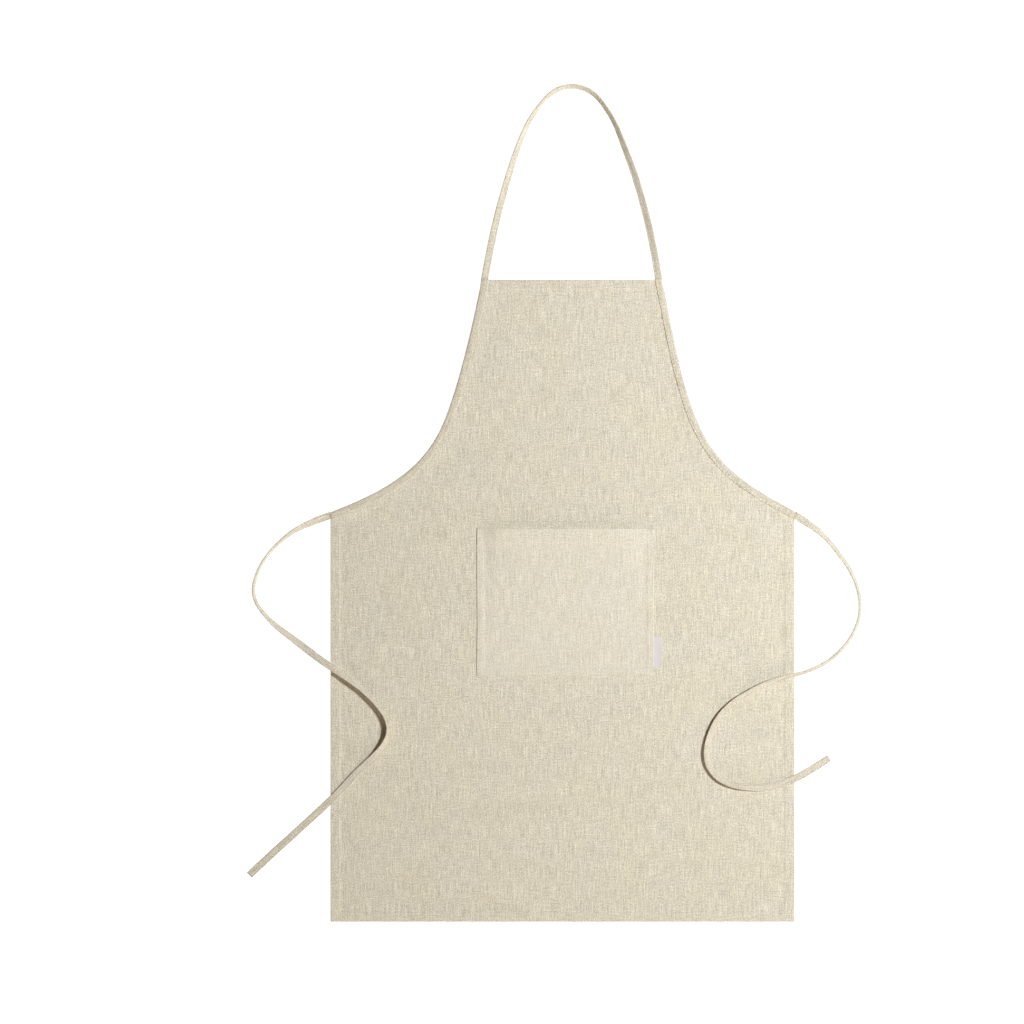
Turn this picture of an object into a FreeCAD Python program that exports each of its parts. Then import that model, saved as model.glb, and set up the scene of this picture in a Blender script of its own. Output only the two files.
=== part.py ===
import FreeCAD, Part
import math
import os

import Sketcher
from FreeCAD import Placement, Rotation, Vector

# Bib apron in hemp canvas, laid flat with its front face up.
# +X towards the wearer's left side as seen from the front, +Y towards the neck
# loop, +Z up from the surface that it lies on.  Millimetres.

doc = FreeCAD.newDocument("bib_apron")

# ------------------------------------------------------------------ dimensions
sheet = doc.addObject("Spreadsheet::Sheet", "Sizes")
DIMS = [
    ("cloth", 0.6, "thickness of one layer of canvas"),
    ("panel_width", 650.0, "width across the side hems"),
    ("side_x", -325.0, "left side edge"),
    ("bottom_y", -586.4, "bottom edge"),
    ("bib_top_y", 313.2, "top edge of the bib"),
    ("corner_left_y", -12.9, "outer edge of the left binding at the side edge"),
    ("corner_right_y", -11.3, "outer edge of the right binding at the side edge"),
    ("hem_width", 12.0, "double turned hem"),
    ("hem_depth", 1.2, "two turned layers under the front layer"),
    ("face_bottom", 1.2, "underside of the single front layer"),
    ("face_top", 1.8, "front face of the panel"),
    ("bind_width", 10.0, "folded width of the binding and of the straps"),
    ("bind_lap", 1.2, "fold of the binding outside the panel's edge"),
    ("bind_top", 3.0, "front face of the binding"),
    ("strap_thick", 2.0, "four pressed layers of the strap"),
    ("strap_gap", 0.3, "gap between a strap and its binding"),
    ("over_panel", 2.4, "lowest point of a tie that crosses the panel"),
    ("pocket_left", -119.8, "left edge of the pocket"),
    ("pocket_width", 247.2, "width of the pocket"),
    ("pocket_bottom", -242.0, "bottom edge of the pocket"),
    ("pocket_height", 206.6, "height of the pocket"),
    ("pocket_flange", 9.0, "sewn margin of the pocket"),
    ("pocket_slope", 30.0, "run of the rise at the pocket's sides"),
    ("pocket_rise_run", 80.0, "run of the rise at the pocket's bottom"),
    ("pocket_gape", 6.6, "height of the pocket's front above the panel"),
    ("label_gap", 0.3, "gap between the label and its neighbours"),
    ("label_length", 11.2, "length of the label that shows"),
    ("label_height", 42.0, "width of the label's ribbon"),
    ("label_bottom", -229.3, "lower edge of the label"),
    ("label_thick", 0.5, "folded ribbon"),
    ("thread_wide", 0.6, "stand-in width of a row of stitches"),
    ("thread_high", 0.2, "stand-in height of a row of stitches"),
    ("hem_row", 10.4, "row of stitches from the edge of a hem"),
    ("bind_row", 8.3, "row of stitches from the outer edge of the binding"),
    ("strap_row", 2.9, "row of stitches from the middle of a strap"),
    ("pocket_row", 2.2, "row of stitches from the edge of the pocket"),
    ("mouth_row", 18.0, "row of stitches below the pocket's mouth"),
    ("tack_length", 7.0, "bar tack"),
    ("tack_width", 1.6, "bar tack"),
]
SIZE = {}
for i, (name, value, note) in enumerate(DIMS, start=1):
    sheet.set("A%d" % i, name)
    sheet.set("B%d" % i, str(value))
    sheet.set("C%d" % i, note)
    sheet.setAlias("B%d" % i, name)
doc.recompute()
for name, value, note in DIMS:
    SIZE[name] = float(sheet.get(name))
S = SIZE


def cell(text):
    """An expression with each sheet name qualified."""
    out = text
    for name in sorted(SIZE, key=len, reverse=True):
        out = out.replace("{" + name + "}", "Sizes." + name)
    return out


def value(text):
    """The number that a plain sum of products of sheet names comes to."""
    out = text
    for name in sorted(SIZE, key=len, reverse=True):
        out = out.replace("{" + name + "}", repr(SIZE[name]))
    total = 0.0
    for term in out.replace("- ", "+ -").split("+"):
        product = 1.0
        for factor in term.split("*"):
            product *= float(factor.strip().replace("--", ""))
        total += product
    return total


SUBPARTS = []


def keep(obj, label):
    obj.Label = label
    SUBPARTS.append(obj)
    return obj


def new_body(label):
    body = doc.addObject("PartDesign::Body", label)
    return keep(body, label)


def xy_plane(body):
    for feature in body.Origin.OriginFeatures:
        if feature.Role == "XY_Plane":
            return feature
    raise RuntimeError("no XY plane")


def place(body, name, z):
    """An empty sketch of the body, on its XY plane, at the height z."""
    sketch = body.newObject("Sketcher::SketchObject", name)
    sketch.AttachmentSupport = [(xy_plane(body), "")]
    sketch.MapMode = "FlatFace"
    sketch.AttachmentOffset = Placement(Vector(0, 0, value(z)), Rotation())
    sketch.setExpression("AttachmentOffset.Base.z", cell(z))
    return sketch


def rectangle(sketch, x, y, wide, high):
    """A rectangle by its low corner and sides, each bound to the sheet."""
    x0, y0, w, h = value(x), value(y), value(wide), value(high)
    p = [
        Vector(x0, y0, 0),
        Vector(x0 + w, y0, 0),
        Vector(x0 + w, y0 + h, 0),
        Vector(x0, y0 + h, 0),
    ]
    base = sketch.GeometryCount
    for i in range(4):
        sketch.addGeometry(Part.LineSegment(p[i], p[(i + 1) % 4]), False)
    for i in range(4):
        sketch.addConstraint(
            Sketcher.Constraint("Coincident", base + i, 2, base + (i + 1) % 4, 1)
        )
    sketch.addConstraint(Sketcher.Constraint("Horizontal", base))
    sketch.addConstraint(Sketcher.Constraint("Horizontal", base + 2))
    sketch.addConstraint(Sketcher.Constraint("Vertical", base + 1))
    sketch.addConstraint(Sketcher.Constraint("Vertical", base + 3))
    for kind, first, second, size, text in (
        ("DistanceX", (-1, 1), (base, 1), x0, x),
        ("DistanceY", (-1, 1), (base, 1), y0, y),
        ("DistanceX", (base, 1), (base, 2), w, wide),
        ("DistanceY", (base + 1, 1), (base + 1, 2), h, high),
    ):
        index = sketch.addConstraint(
            Sketcher.Constraint(kind, first[0], first[1], second[0], second[1], size)
        )
        sketch.setExpression("Constraints[%d]" % index, cell(text))


def outline(sketch, points):
    """A closed outline of straight pieces through the points."""
    n = len(points)
    for i in range(n):
        a, b = points[i], points[(i + 1) % n]
        sketch.addGeometry(
            Part.LineSegment(Vector(a[0], a[1], 0), Vector(b[0], b[1], 0)), False
        )


def pad(body, sketch, name, height):
    feature = body.newObject("PartDesign::Pad", name)
    feature.Profile = sketch
    feature.Length = value(height)
    feature.setExpression("Length", cell(height))
    return feature


def padded_rectangle(body, name, x, y, wide, high, z, height):
    sketch = place(body, name + "_sketch", z)
    rectangle(sketch, x, y, wide, high)
    return pad(body, sketch, name, height)


def padded_outline(body, name, points, z, height):
    sketch = place(body, name + "_sketch", z)
    outline(sketch, points)
    return pad(body, sketch, name, height)


# ------------------------------------------------------------- armhole outlines
# Outer edge of each armhole binding, from the bib's top corner to the side edge.
LEFT_EDGE = [
    (-113.9, 313.2), (-115.7, 300.8), (-118.3, 288.5), (-120.9, 276.3),
    (-123.6, 264.0), (-126.3, 251.7), (-129.1, 239.4), (-132.0, 227.1),
    (-135.1, 214.8), (-138.2, 202.5), (-141.5, 190.3), (-144.8, 178.1),
    (-148.4, 165.9), (-152.1, 153.8), (-156.0, 141.7), (-160.1, 129.8),
    (-164.6, 118.0), (-169.6, 106.6), (-175.2, 95.4), (-181.6, 84.7),
    (-188.6, 74.5), (-196.4, 64.9), (-205.0, 55.8), (-214.2, 47.3),
    (-224.0, 39.3), (-234.4, 31.9), (-245.1, 25.0), (-256.2, 18.5),
    (-267.5, 12.4), (-279.0, 6.8), (-290.6, 1.5), (-302.2, -3.4),
    (-313.7, -8.0), (-325.0, -12.9),
]
RIGHT_EDGE = [
    (139.7, 313.2), (141.8, 301.5), (144.3, 289.9), (146.7, 278.2),
    (149.0, 266.5), (151.3, 254.8), (153.6, 243.0), (156.0, 231.3),
    (158.4, 219.5), (161.0, 207.8), (163.6, 196.1), (166.4, 184.4),
    (169.5, 172.8), (172.7, 161.2), (176.2, 149.7), (179.9, 138.2),
    (184.0, 127.0), (188.5, 115.8), (193.4, 105.0), (198.8, 94.5),
    (204.7, 84.3), (211.3, 74.5), (218.5, 65.2), (226.3, 56.3),
    (234.8, 47.9), (243.8, 40.0), (253.3, 32.4), (263.1, 25.3),
    (273.2, 18.5), (283.5, 12.0), (293.9, 5.9), (304.4, 0.1),
    (314.8, -5.5), (325.0, -11.3),
]


def offset_line(points, distance, side):
    """The open line moved sideways by distance; side is +1 to its left."""
    n = len(points)
    out = []
    for i in range(n):
        a = points[max(i - 1, 0)]
        b = points[min(i + 1, n - 1)]
        dx, dy = b[0] - a[0], b[1] - a[1]
        size = math.hypot(dx, dy)
        out.append(
            (
                points[i][0] - side * distance * dy / size,
                points[i][1] + side * distance * dx / size,
            )
        )
    return out


def stretch(points, more):
    """The line made longer at both its ends."""
    (x0, y0), (x1, y1) = points[0], points[1]
    (x2, y2), (x3, y3) = points[-2], points[-1]
    a = math.hypot(x1 - x0, y1 - y0)
    b = math.hypot(x3 - x2, y3 - y2)
    first = (x0 - (x1 - x0) / a * more, y0 - (y1 - y0) / a * more)
    last = (x3 + (x3 - x2) / b * more, y3 + (y3 - y2) / b * more)
    return [first] + list(points) + [last]


def cut_line(line, inside, cross):
    """The part of the line that is inside, with its crossing points added."""
    out = []
    for a, b in zip(line[:-1], line[1:]):
        if inside(a):
            out.append(a)
        if inside(a) != inside(b):
            out.append(cross(a, b))
    if inside(line[-1]):
        out.append(line[-1])
    clean = [out[0]]
    for p in out[1:]:
        if math.hypot(p[0] - clean[-1][0], p[1] - clean[-1][1]) > 0.05:
            clean.append(p)
    return clean


def trim(points, top_y, side_x, sign):
    """Cuts the line off at the height top_y and at the side edge side_x."""

    def at_top(a, b):
        k = (top_y - a[1]) / (b[1] - a[1])
        return (a[0] + k * (b[0] - a[0]), top_y)

    def at_side(a, b):
        k = (side_x - a[0]) / (b[0] - a[0])
        return (side_x, a[1] + k * (b[1] - a[1]))

    line = stretch(points, 15.0)
    line = cut_line(line, lambda p: p[1] < top_y, at_top)
    return cut_line(line, lambda p: sign * p[0] < sign * side_x, at_side)


TOP = S["bib_top_y"]
LEFT_X = S["side_x"]
RIGHT_X = S["side_x"] + S["panel_width"]


def left_line(distance):
    return trim(offset_line(LEFT_EDGE, distance, +1), TOP, LEFT_X, -1)


def right_line(distance):
    return trim(offset_line(RIGHT_EDGE, distance, -1), TOP, RIGHT_X, +1)


# ---------------------------------------------------------------------- panel
panel = new_body("body_panel")
left_cut = left_line(S["bind_lap"])
right_cut = right_line(S["bind_lap"])
front = [(LEFT_X, S["bottom_y"]), (RIGHT_X, S["bottom_y"])]
front += right_cut[::-1] + left_cut
padded_outline(panel, "front_layer", front, "{face_bottom}", "{cloth}")

left_low = left_line(S["bind_width"])[-1][1]
right_low = right_line(S["bind_width"])[-1][1]
bib_left = left_line(S["bind_width"])[0][0]
bib_right = right_line(S["bind_width"])[0][0]

# The turned layers of each hem are solids of their own under the front layer, so
# that each is a simple closed shape.
padded_rectangle(
    new_body("bottom_hem"), "bottom_turning", "{side_x}", "{bottom_y}", "{panel_width}", "{hem_width}",
    "0.0", "{hem_depth}",
)
padded_rectangle(
    new_body("left_hem"), "left_turning", "{side_x}", "{bottom_y} + {hem_width}", "{hem_width}",
    "%.4f - {bottom_y} - {hem_width}" % (left_low - 1.0), "0.0", "{hem_depth}",
)
padded_rectangle(
    new_body("right_hem"), "right_turning", "{side_x} + {panel_width} - {hem_width}",
    "{bottom_y} + {hem_width}", "{hem_width}",
    "%.4f - {bottom_y} - {hem_width}" % (right_low - 1.0), "0.0", "{hem_depth}",
)
# The top hem of the bib runs between the two bindings.
top_left = left_line(S["bind_width"] + 0.6)
top_right = right_line(S["bind_width"] + 0.6)


def part_above(line, low_y):
    out = []
    for a, b in zip(line[:-1], line[1:]):
        if a[1] >= low_y:
            out.append(a)
            if b[1] < low_y:
                k = (low_y - a[1]) / (b[1] - a[1])
                out.append((a[0] + k * (b[0] - a[0]), low_y))
    return out


hem_low = TOP - S["hem_width"]
top_hem = part_above(top_left, hem_low) + part_above(top_right, hem_low)[::-1]
padded_outline(new_body("bib_hem"), "bib_turning", top_hem, "0.0", "{hem_depth}")


# -------------------------------------------------------------------- bindings
def binding(label, line):
    body = new_body(label)
    outer = line(0.0)
    lap = line(S["bind_lap"])
    inner = line(S["bind_width"])
    strip = outer + inner[::-1]
    wall = outer + lap[::-1]
    padded_outline(body, label + "_back", strip, "0.0", "{face_bottom}")
    padded_outline(body, label + "_fold", wall, "{face_bottom}", "{cloth}")
    padded_outline(
        body, label + "_front", strip, "{face_top}", "{bind_top} - {face_top}"
    )
    return body


binding("left_binding", left_line)
binding("right_binding", right_line)


# ------------------------------------------------------------ twisted flat tape
def rounded_route(points):
    """Straight runs joined by tangent arcs, as pieces ('line', a, b) and
    ('arc', centre, radius, start angle, swept angle)."""
    pts = [Vector(p[0], p[1], 0) for p in points]
    pieces = []
    radii = []
    here = pts[0]
    for i in range(1, len(pts) - 1):
        u = pts[i] - pts[i - 1]
        v = pts[i + 1] - pts[i]
        run = min(u.Length, v.Length)
        u.normalize()
        v.normalize()
        turn = math.atan2(u.x * v.y - u.y * v.x, u.dot(v))
        tangent = 0.45 * run
        radius = tangent / math.tan(abs(turn) / 2)
        radii.append(radius)
        a = pts[i] - u * tangent
        b = pts[i] + v * tangent
        pieces.append(("line", here, a))
        side = 1.0 if turn > 0 else -1.0
        centre = a + Vector(-u.y, u.x, 0) * (side * radius)
        start = math.atan2(a.y - centre.y, a.x - centre.x)
        pieces.append(("arc", centre, radius, start, turn))
        here = b
    pieces.append(("line", here, pts[-1]))
    return pieces, radii


def stations(pieces, step):
    """Points with their headings along the route, no further apart than step."""
    out = []
    along = 0.0
    for piece in pieces:
        if piece[0] == "line":
            a, b = piece[1], piece[2]
            size = (b - a).Length
            n = max(1, int(math.ceil(size / step)))
            d = (b - a) / size
            for i in range(n):
                out.append((along + size * i / n, a + (b - a) * (i / n), d))
            along += size
        else:
            centre, radius, start, turn = piece[1:]
            size = radius * abs(turn)
            n = max(1, int(math.ceil(max(size / step, abs(turn) / 0.14))))
            side = 1.0 if turn > 0 else -1.0
            for i in range(n):
                t = start + turn * i / n
                p = centre + Vector(math.cos(t), math.sin(t), 0) * radius
                d = Vector(-math.sin(t) * side, math.cos(t) * side, 0)
                out.append((along + size * i / n, p, d))
            along += size
    last = pieces[-1]
    d = (last[2] - last[1]) / (last[2] - last[1]).Length
    out.append((along, last[2], d))
    return out, along


def table(rows, x):
    """Straight-line interpolation in a table of (x, value)."""
    if x <= rows[0][0]:
        return rows[0][1]
    for (x0, v0), (x1, v1) in zip(rows[:-1], rows[1:]):
        if x <= x1:
            return v0 + (v1 - v0) * (x - x0) / (x1 - x0)
    return rows[-1][1]


def prism(rings):
    """A closed solid of flat triangles through the rings of four corners."""
    faces = []

    def face(*p):
        wire = Part.makePolygon(list(p) + [p[0]])
        faces.append(Part.Face(wire))

    for r, s in zip(rings[:-1], rings[1:]):
        for k in range(4):
            j = (k + 1) % 4
            face(r[k], r[j], s[j])
            face(r[k], s[j], s[k])
    for ring in (rings[0], rings[-1]):
        face(ring[0], ring[1], ring[2])
        face(ring[0], ring[2], ring[3])
    shell = Part.makeShell(faces)
    shell.sewShape()
    solid = Part.Solid(shell)
    if solid.Volume < 0:
        solid.reverse()
    return solid


def tape(route, roll, base, low, high, across, away):
    """The solid of a flat strip that follows the route.  roll gives its tilt in
    degrees (positive lifts its left edge) and base the height of what it lies on,
    both against the share of the length.  The strip spans low..high across the
    tape and across..away out from the tape's middle plane."""
    half_w = S["bind_width"] / 2
    half_t = S["strap_thick"] / 2
    pieces, radii = rounded_route(route)
    marks, length = stations(pieces, 4.0)
    rings = []
    for along, p, d in marks:
        share = along / length
        a = math.radians(table(roll, share))
        left = Vector(-d.y, d.x, 0)
        w = left * math.cos(a) + Vector(0, 0, 1) * math.sin(a)
        n = left * -math.sin(a) + Vector(0, 0, 1) * math.cos(a)
        rise = half_w * abs(math.sin(a)) + half_t * abs(math.cos(a))
        c = Vector(p.x, p.y, table(base, share) + rise)
        rings.append(
            [
                c + w * low + n * across,
                c + w * high + n * across,
                c + w * high + n * away,
                c + w * low + n * away,
            ]
        )
    return prism(rings), radii, length


def strap(label, route, roll, base, row_side):
    """A strap and the row of stitches along it."""
    half_w = S["bind_width"] / 2
    half_t = S["strap_thick"] / 2
    solid, radii, length = tape(route, roll, base, -half_w, half_w, -half_t, half_t)
    body = doc.addObject("Part::Feature", label)
    body.Shape = solid
    body.Placement = Placement()
    keep(body, label)
    mid = row_side * S["strap_row"]
    half = S["thread_wide"] / 2
    row, _, _ = tape(
        route, roll, base, mid - half, mid + half, half_t + 0.3,
        half_t + 0.3 + S["thread_high"],
    )
    rows = doc.addObject("Part::Feature", label + "_stitching")
    rows.Shape = row
    rows.Placement = Placement()
    keep(rows, label + "_stitching")
    section = S["bind_width"] * S["strap_thick"]
    print(
        "%s: length %.1f mm, radii %s" % (label, length, [round(r) for r in radii])
    )
    print(
        "%s: volume %.0f, section times length %.0f"
        % (label, solid.Volume, section * length)
    )
    return body


LOOP_ROUTE = [
    (-108.9, 314.4), (-101.7, 358.0), (-91.6, 405.1), (-79.0, 452.5),
    (-64.8, 498.7), (-46.2, 543.0), (-10.1, 584.3), (36.8, 582.7),
    (68.5, 543.4), (86.9, 497.3), (103.4, 452.2), (116.2, 405.0),
    (127.0, 357.7), (134.7, 314.4),
]
LOOP_ROLL = [
    (0.0, 8), (0.05, 12), (0.09, 16), (0.145, 30), (0.201, 38), (0.257, 52),
    (0.313, 62), (0.373, 73), (0.42, 79), (0.46, 74), (0.5, 68), (0.559, 70),
    (0.626, 70), (0.655, 65), (0.685, 54), (0.714, 45), (0.742, 37), (0.799, 25),
    (0.854, 20), (0.91, 19), (0.96, 16), (1.0, 12),
]
FLAT = [(0.0, 0.0), (1.0, 0.0)]
strap("neck_loop", LOOP_ROUTE, LOOP_ROLL, FLAT, -1)

LEFT_ROUTE = [
    (-327.2, -19.2), (-364.2, -31.1), (-400.5, -54.4), (-427.9, -88.8),
    (-437.6, -131.3), (-408.7, -166.6), (-374.4, -192.0), (-340.7, -218.0),
    (-304.3, -241.3), (-271.0, -267.7), (-241.3, -308.1), (-251.0, -343.6),
    (-286.3, -375.1), (-314.2, -405.8), (-345.7, -435.7), (-377.3, -464.6),
    (-409.4, -493.4), (-438.5, -521.0),
]
LEFT_ROLL = [
    (0.0, 0), (0.012, -4), (0.063, -55), (0.106, -82), (0.14, -86), (0.167, -87),
    (0.193, -83), (0.217, -82), (0.24, -86), (0.268, -79), (0.301, -61),
    (0.338, -38), (0.376, -12), (0.415, -10), (0.443, -15), (0.477, -42),
    (0.504, -57), (0.531, -71), (0.551, -76), (0.581, -84), (0.608, -86),
    (0.631, -80), (0.645, -57), (0.667, -24), (0.691, 0), (1.0, 0),
]
LEFT_BASE = [
    (0.0, 0.0), (0.37, 0.0), (0.415, S["over_panel"]), (0.805, S["over_panel"]),
    (0.85, 0.0), (1.0, 0.0),
]
strap("left_tie", LEFT_ROUTE, LEFT_ROLL, LEFT_BASE, +1)

RIGHT_ROUTE = [
    (327.9, -18.2), (358.9, -36.2), (387.0, -69.7), (408.7, -102.3),
    (419.3, -144.0), (409.0, -182.9), (381.8, -215.8), (346.3, -235.4),
    (305.5, -244.1), (269.0, -260.0), (232.6, -282.6), (209.1, -313.1),
    (198.0, -358.5), (220.3, -389.9), (264.5, -399.4), (303.4, -395.7),
    (341.6, -378.2), (373.8, -357.2),
]
RIGHT_ROLL = [
    (0.0, 0), (0.012, -6), (0.046, -48), (0.081, -62), (0.114, -66), (0.144, -70),
    (0.198, -76), (0.247, -80), (0.299, -77), (0.365, -76), (0.414, -70),
    (0.437, -68), (0.475, -62), (0.532, -58), (0.583, -55), (0.658, -50),
    (0.704, -49), (0.736, -52), (0.775, -60), (0.798, -52), (0.823, -33),
    (0.845, -12), (0.866, 0), (1.0, 0),
]
RIGHT_BASE = [
    (0.0, 0.0), (0.37, 0.0), (0.415, S["over_panel"]), (0.935, S["over_panel"]),
    (0.975, 0.0), (1.0, 0.0),
]
strap("right_tie", RIGHT_ROUTE, RIGHT_ROLL, RIGHT_BASE, -1)


# --------------------------------------------------------------------- pocket
# A shallow raised front, open at the mouth, with a sewn margin on three sides.
def wedge_solid(name, inset, drop, over):
    """A low frustum from its corners: its base is inside the pocket's margin by
    inset, its front face is lower than the pocket's front by drop, and it runs
    past the mouth by over."""
    x0 = S["pocket_left"] + S["pocket_flange"] + inset
    x1 = S["pocket_left"] + S["pocket_width"] - S["pocket_flange"] - inset
    y0 = S["pocket_bottom"] + S["pocket_flange"] + inset
    y1 = S["pocket_bottom"] + S["pocket_height"] + over
    k = S["pocket_slope"]
    r = S["pocket_rise_run"]
    z0 = S["face_top"]
    z1 = S["face_top"] + S["pocket_gape"] - drop
    low = [Vector(x0, y0, z0), Vector(x1, y0, z0), Vector(x1, y1, z0), Vector(x0, y1, z0)]
    top = [
        Vector(x0 + k, y0 + r, z1),
        Vector(x1 - k, y0 + r, z1),
        Vector(x1 - k, y1, z1),
        Vector(x0 + k, y1, z1),
    ]
    faces = [Part.Face(Part.makePolygon(low + [low[0]]))]
    faces.append(Part.Face(Part.makePolygon(top + [top[0]])))
    for i in range(4):
        j = (i + 1) % 4
        faces.append(
            Part.Face(Part.makePolygon([low[i], low[j], top[j], top[i], low[i]]))
        )
    shell = Part.makeShell(faces)
    shell.sewShape()
    solid = Part.Solid(shell)
    if solid.Volume < 0:
        solid.reverse()
    obj = doc.addObject("Part::Feature", name)
    obj.Shape = solid
    obj.Placement = Placement()
    return obj


outer = wedge_solid("pocket_outer", 0.0, 0.0, 0.0)
inner = wedge_solid("pocket_inner", 1.0, S["cloth"], 5.0)
margin = doc.addObject("Part::Box", "pocket_margin")
for prop, text in (
    ("Length", "{pocket_width}"),
    ("Width", "{pocket_height}"),
    ("Height", "{cloth}"),
):
    setattr(margin, prop, value(text))
    margin.setExpression(prop, cell(text))
margin.Placement = Placement(
    Vector(S["pocket_left"], S["pocket_bottom"], S["face_top"]), Rotation()
)
margin.setExpression("Placement.Base.x", cell("{pocket_left}"))
margin.setExpression("Placement.Base.y", cell("{pocket_bottom}"))
margin.setExpression("Placement.Base.z", cell("{face_top}"))
front_shape = doc.addObject("Part::Fuse", "pocket_front")
front_shape.Base = outer
front_shape.Tool = margin
pocket = doc.addObject("Part::Cut", "pocket")
pocket.Base = front_shape
pocket.Tool = inner
keep(pocket, "pocket")

# ------------------------------------------------------------------ side label
label_body = new_body("side_label")
padded_rectangle(
    label_body, "ribbon",
    "{pocket_left} + {pocket_width} + {label_gap}", "{label_bottom}",
    "{label_length}", "{label_height}",
    "{face_top} + {label_gap}", "{label_thick}",
)

# ------------------------------------------------------------- rows of stitches
half_row = S["thread_wide"] / 2


def row_body(label, x, y, wide, high, z):
    body = new_body(label)
    padded_rectangle(body, label + "_row", x, y, wide, high, z, "{thread_high}")
    return body


row_y = TOP - S["hem_row"]
row_left = [p for p in part_above(left_line(S["bind_width"] + 0.4), row_y)][-1][0]
row_right = [p for p in part_above(right_line(S["bind_width"] + 0.4), row_y)][-1][0]
row_body(
    "bib_hem_stitching", "%.4f" % (row_left + 0.6),
    "{bib_top_y} - {hem_row} - 0.5 * {thread_wide}",
    "%.4f" % (row_right - row_left - 1.2), "{thread_wide}", "{face_top}",
)
row_body(
    "bottom_hem_stitching", "{side_x} + 0.5",
    "{bottom_y} + {hem_row} - 0.5 * {thread_wide}",
    "{panel_width} - 1.0", "{thread_wide}", "{face_top}",
)
low_row = "{bottom_y} + {hem_row} + {thread_wide}"
row_body(
    "left_hem_stitching", "{side_x} + {hem_row} - 0.5 * {thread_wide}", low_row,
    "{thread_wide}",
    "%.4f - {bottom_y} - {hem_row} - {thread_wide}" % (left_low + 3.0),
    "{face_top}",
)
row_body(
    "right_hem_stitching",
    "{side_x} + {panel_width} - {hem_row} - 0.5 * {thread_wide}", low_row,
    "{thread_wide}",
    "%.4f - {bottom_y} - {hem_row} - {thread_wide}" % (right_low + 3.0),
    "{face_top}",
)


def binding_row(label, line):
    body = new_body(label)
    a = line(S["bind_row"] - half_row)
    b = line(S["bind_row"] + half_row)
    padded_outline(body, label + "_row", a + b[::-1], "{bind_top}", "{thread_high}")
    return body


binding_row("left_binding_stitching", left_line)
binding_row("right_binding_stitching", right_line)

# The row that closes the pocket runs down one side, along the bottom and up.
seam = new_body("pocket_seam_stitching")
px0 = S["pocket_left"] + S["pocket_row"]
px1 = S["pocket_left"] + S["pocket_width"] - S["pocket_row"]
py0 = S["pocket_bottom"] + S["pocket_row"]
py1 = S["pocket_bottom"] + S["pocket_height"] - 1.0
u_row = [
    (px0 - half_row, py1), (px0 - half_row, py0 - half_row),
    (px1 + half_row, py0 - half_row), (px1 + half_row, py1),
    (px1 - half_row, py1), (px1 - half_row, py0 + half_row),
    (px0 + half_row, py0 + half_row), (px0 + half_row, py1),
]
padded_outline(
    seam, "seam_row", u_row, "{face_top} + {cloth}", "{thread_high}"
)
# The mouth's hem row lies on the raised front, between the two slopes.
row_body(
    "pocket_hem_stitching",
    "{pocket_left} + {pocket_flange} + {pocket_slope} + 1.0",
    "{pocket_bottom} + {pocket_height} - {mouth_row} - 0.5 * {thread_wide}",
    "{pocket_width} - 2.0 * {pocket_flange} - 2.0 * {pocket_slope} - 2.0",
    "{thread_wide}", "{face_top} + {pocket_gape}",
)


def boxes(label, rows):
    """A group of separate small blocks (x, y, z as sheet sums)."""
    made = []
    for i, (x, y, z, wide, high) in enumerate(rows):
        b = doc.addObject("Part::Box", "%s_%d" % (label, i + 1))
        for prop, text in (("Length", wide), ("Width", high), ("Height", "{thread_high}")):
            setattr(b, prop, value(text))
            b.setExpression(prop, cell(text))
        b.Placement = Placement(Vector(value(x), value(y), value(z)), Rotation())
        b.setExpression("Placement.Base.x", cell(x))
        b.setExpression("Placement.Base.y", cell(y))
        b.setExpression("Placement.Base.z", cell(z))
        made.append(b)
    group = doc.addObject("Part::Compound", label)
    group.Links = made
    return keep(group, label)


tack_z = "{face_top} + {cloth}"
tack_y = "{pocket_bottom} + {pocket_height} - {tack_width} - 1.2"
boxes(
    "pocket_bar_tacks",
    [
        ("{pocket_left} + {pocket_row} + 0.5", tack_y, tack_z, "{tack_length} - 1.0", "{tack_width}"),
        (
            "{pocket_left} + {pocket_width} - {pocket_row} - {tack_length} + 0.5",
            tack_y, tack_z, "{tack_length} - 1.0", "{tack_width}",
        ),
    ],
)
left_tack = "%.4f" % (left_low + 3.9)
right_tack = "%.4f" % (right_low + 4.4)
boxes(
    "binding_end_tacks",
    [
        (
            "{side_x} + 1.2", left_tack, "{bind_top}", "{tack_width}",
            "{tack_length} - 1.0",
        ),
        (
            "{side_x} + {panel_width} - {tack_width} - 1.2", right_tack, "{bind_top}",
            "{tack_width}", "{tack_length} - 1.0",
        ),
    ],
)

# ---------------------------------------------------------------------- export
doc.recompute()
for obj in doc.Objects:
    if "Invalid" in obj.State or "Error" in obj.State:
        raise RuntimeError("%s did not recompute: %s" % (obj.Name, obj.State))
for obj in SUBPARTS:
    shape = obj.Shape
    if shape.isNull() or not shape.isValid() or shape.Volume <= 0:
        raise RuntimeError("%s has no sound shape" % obj.Label)
os.makedirs("parts", exist_ok=True)
for obj in SUBPARTS:
    obj.Shape.exportStep("parts/%s.step" % obj.Label)
    box = obj.Shape.BoundBox
    print(
        "%-24s solids %d volume %9.1f  x %.2f %.2f  y %.2f %.2f  z %.2f %.2f"
        % (
            obj.Label, len(obj.Shape.Solids), obj.Shape.Volume, box.XMin, box.XMax,
            box.YMin, box.YMax, box.ZMin, box.ZMax,
        )
    )
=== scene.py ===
import math

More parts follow.
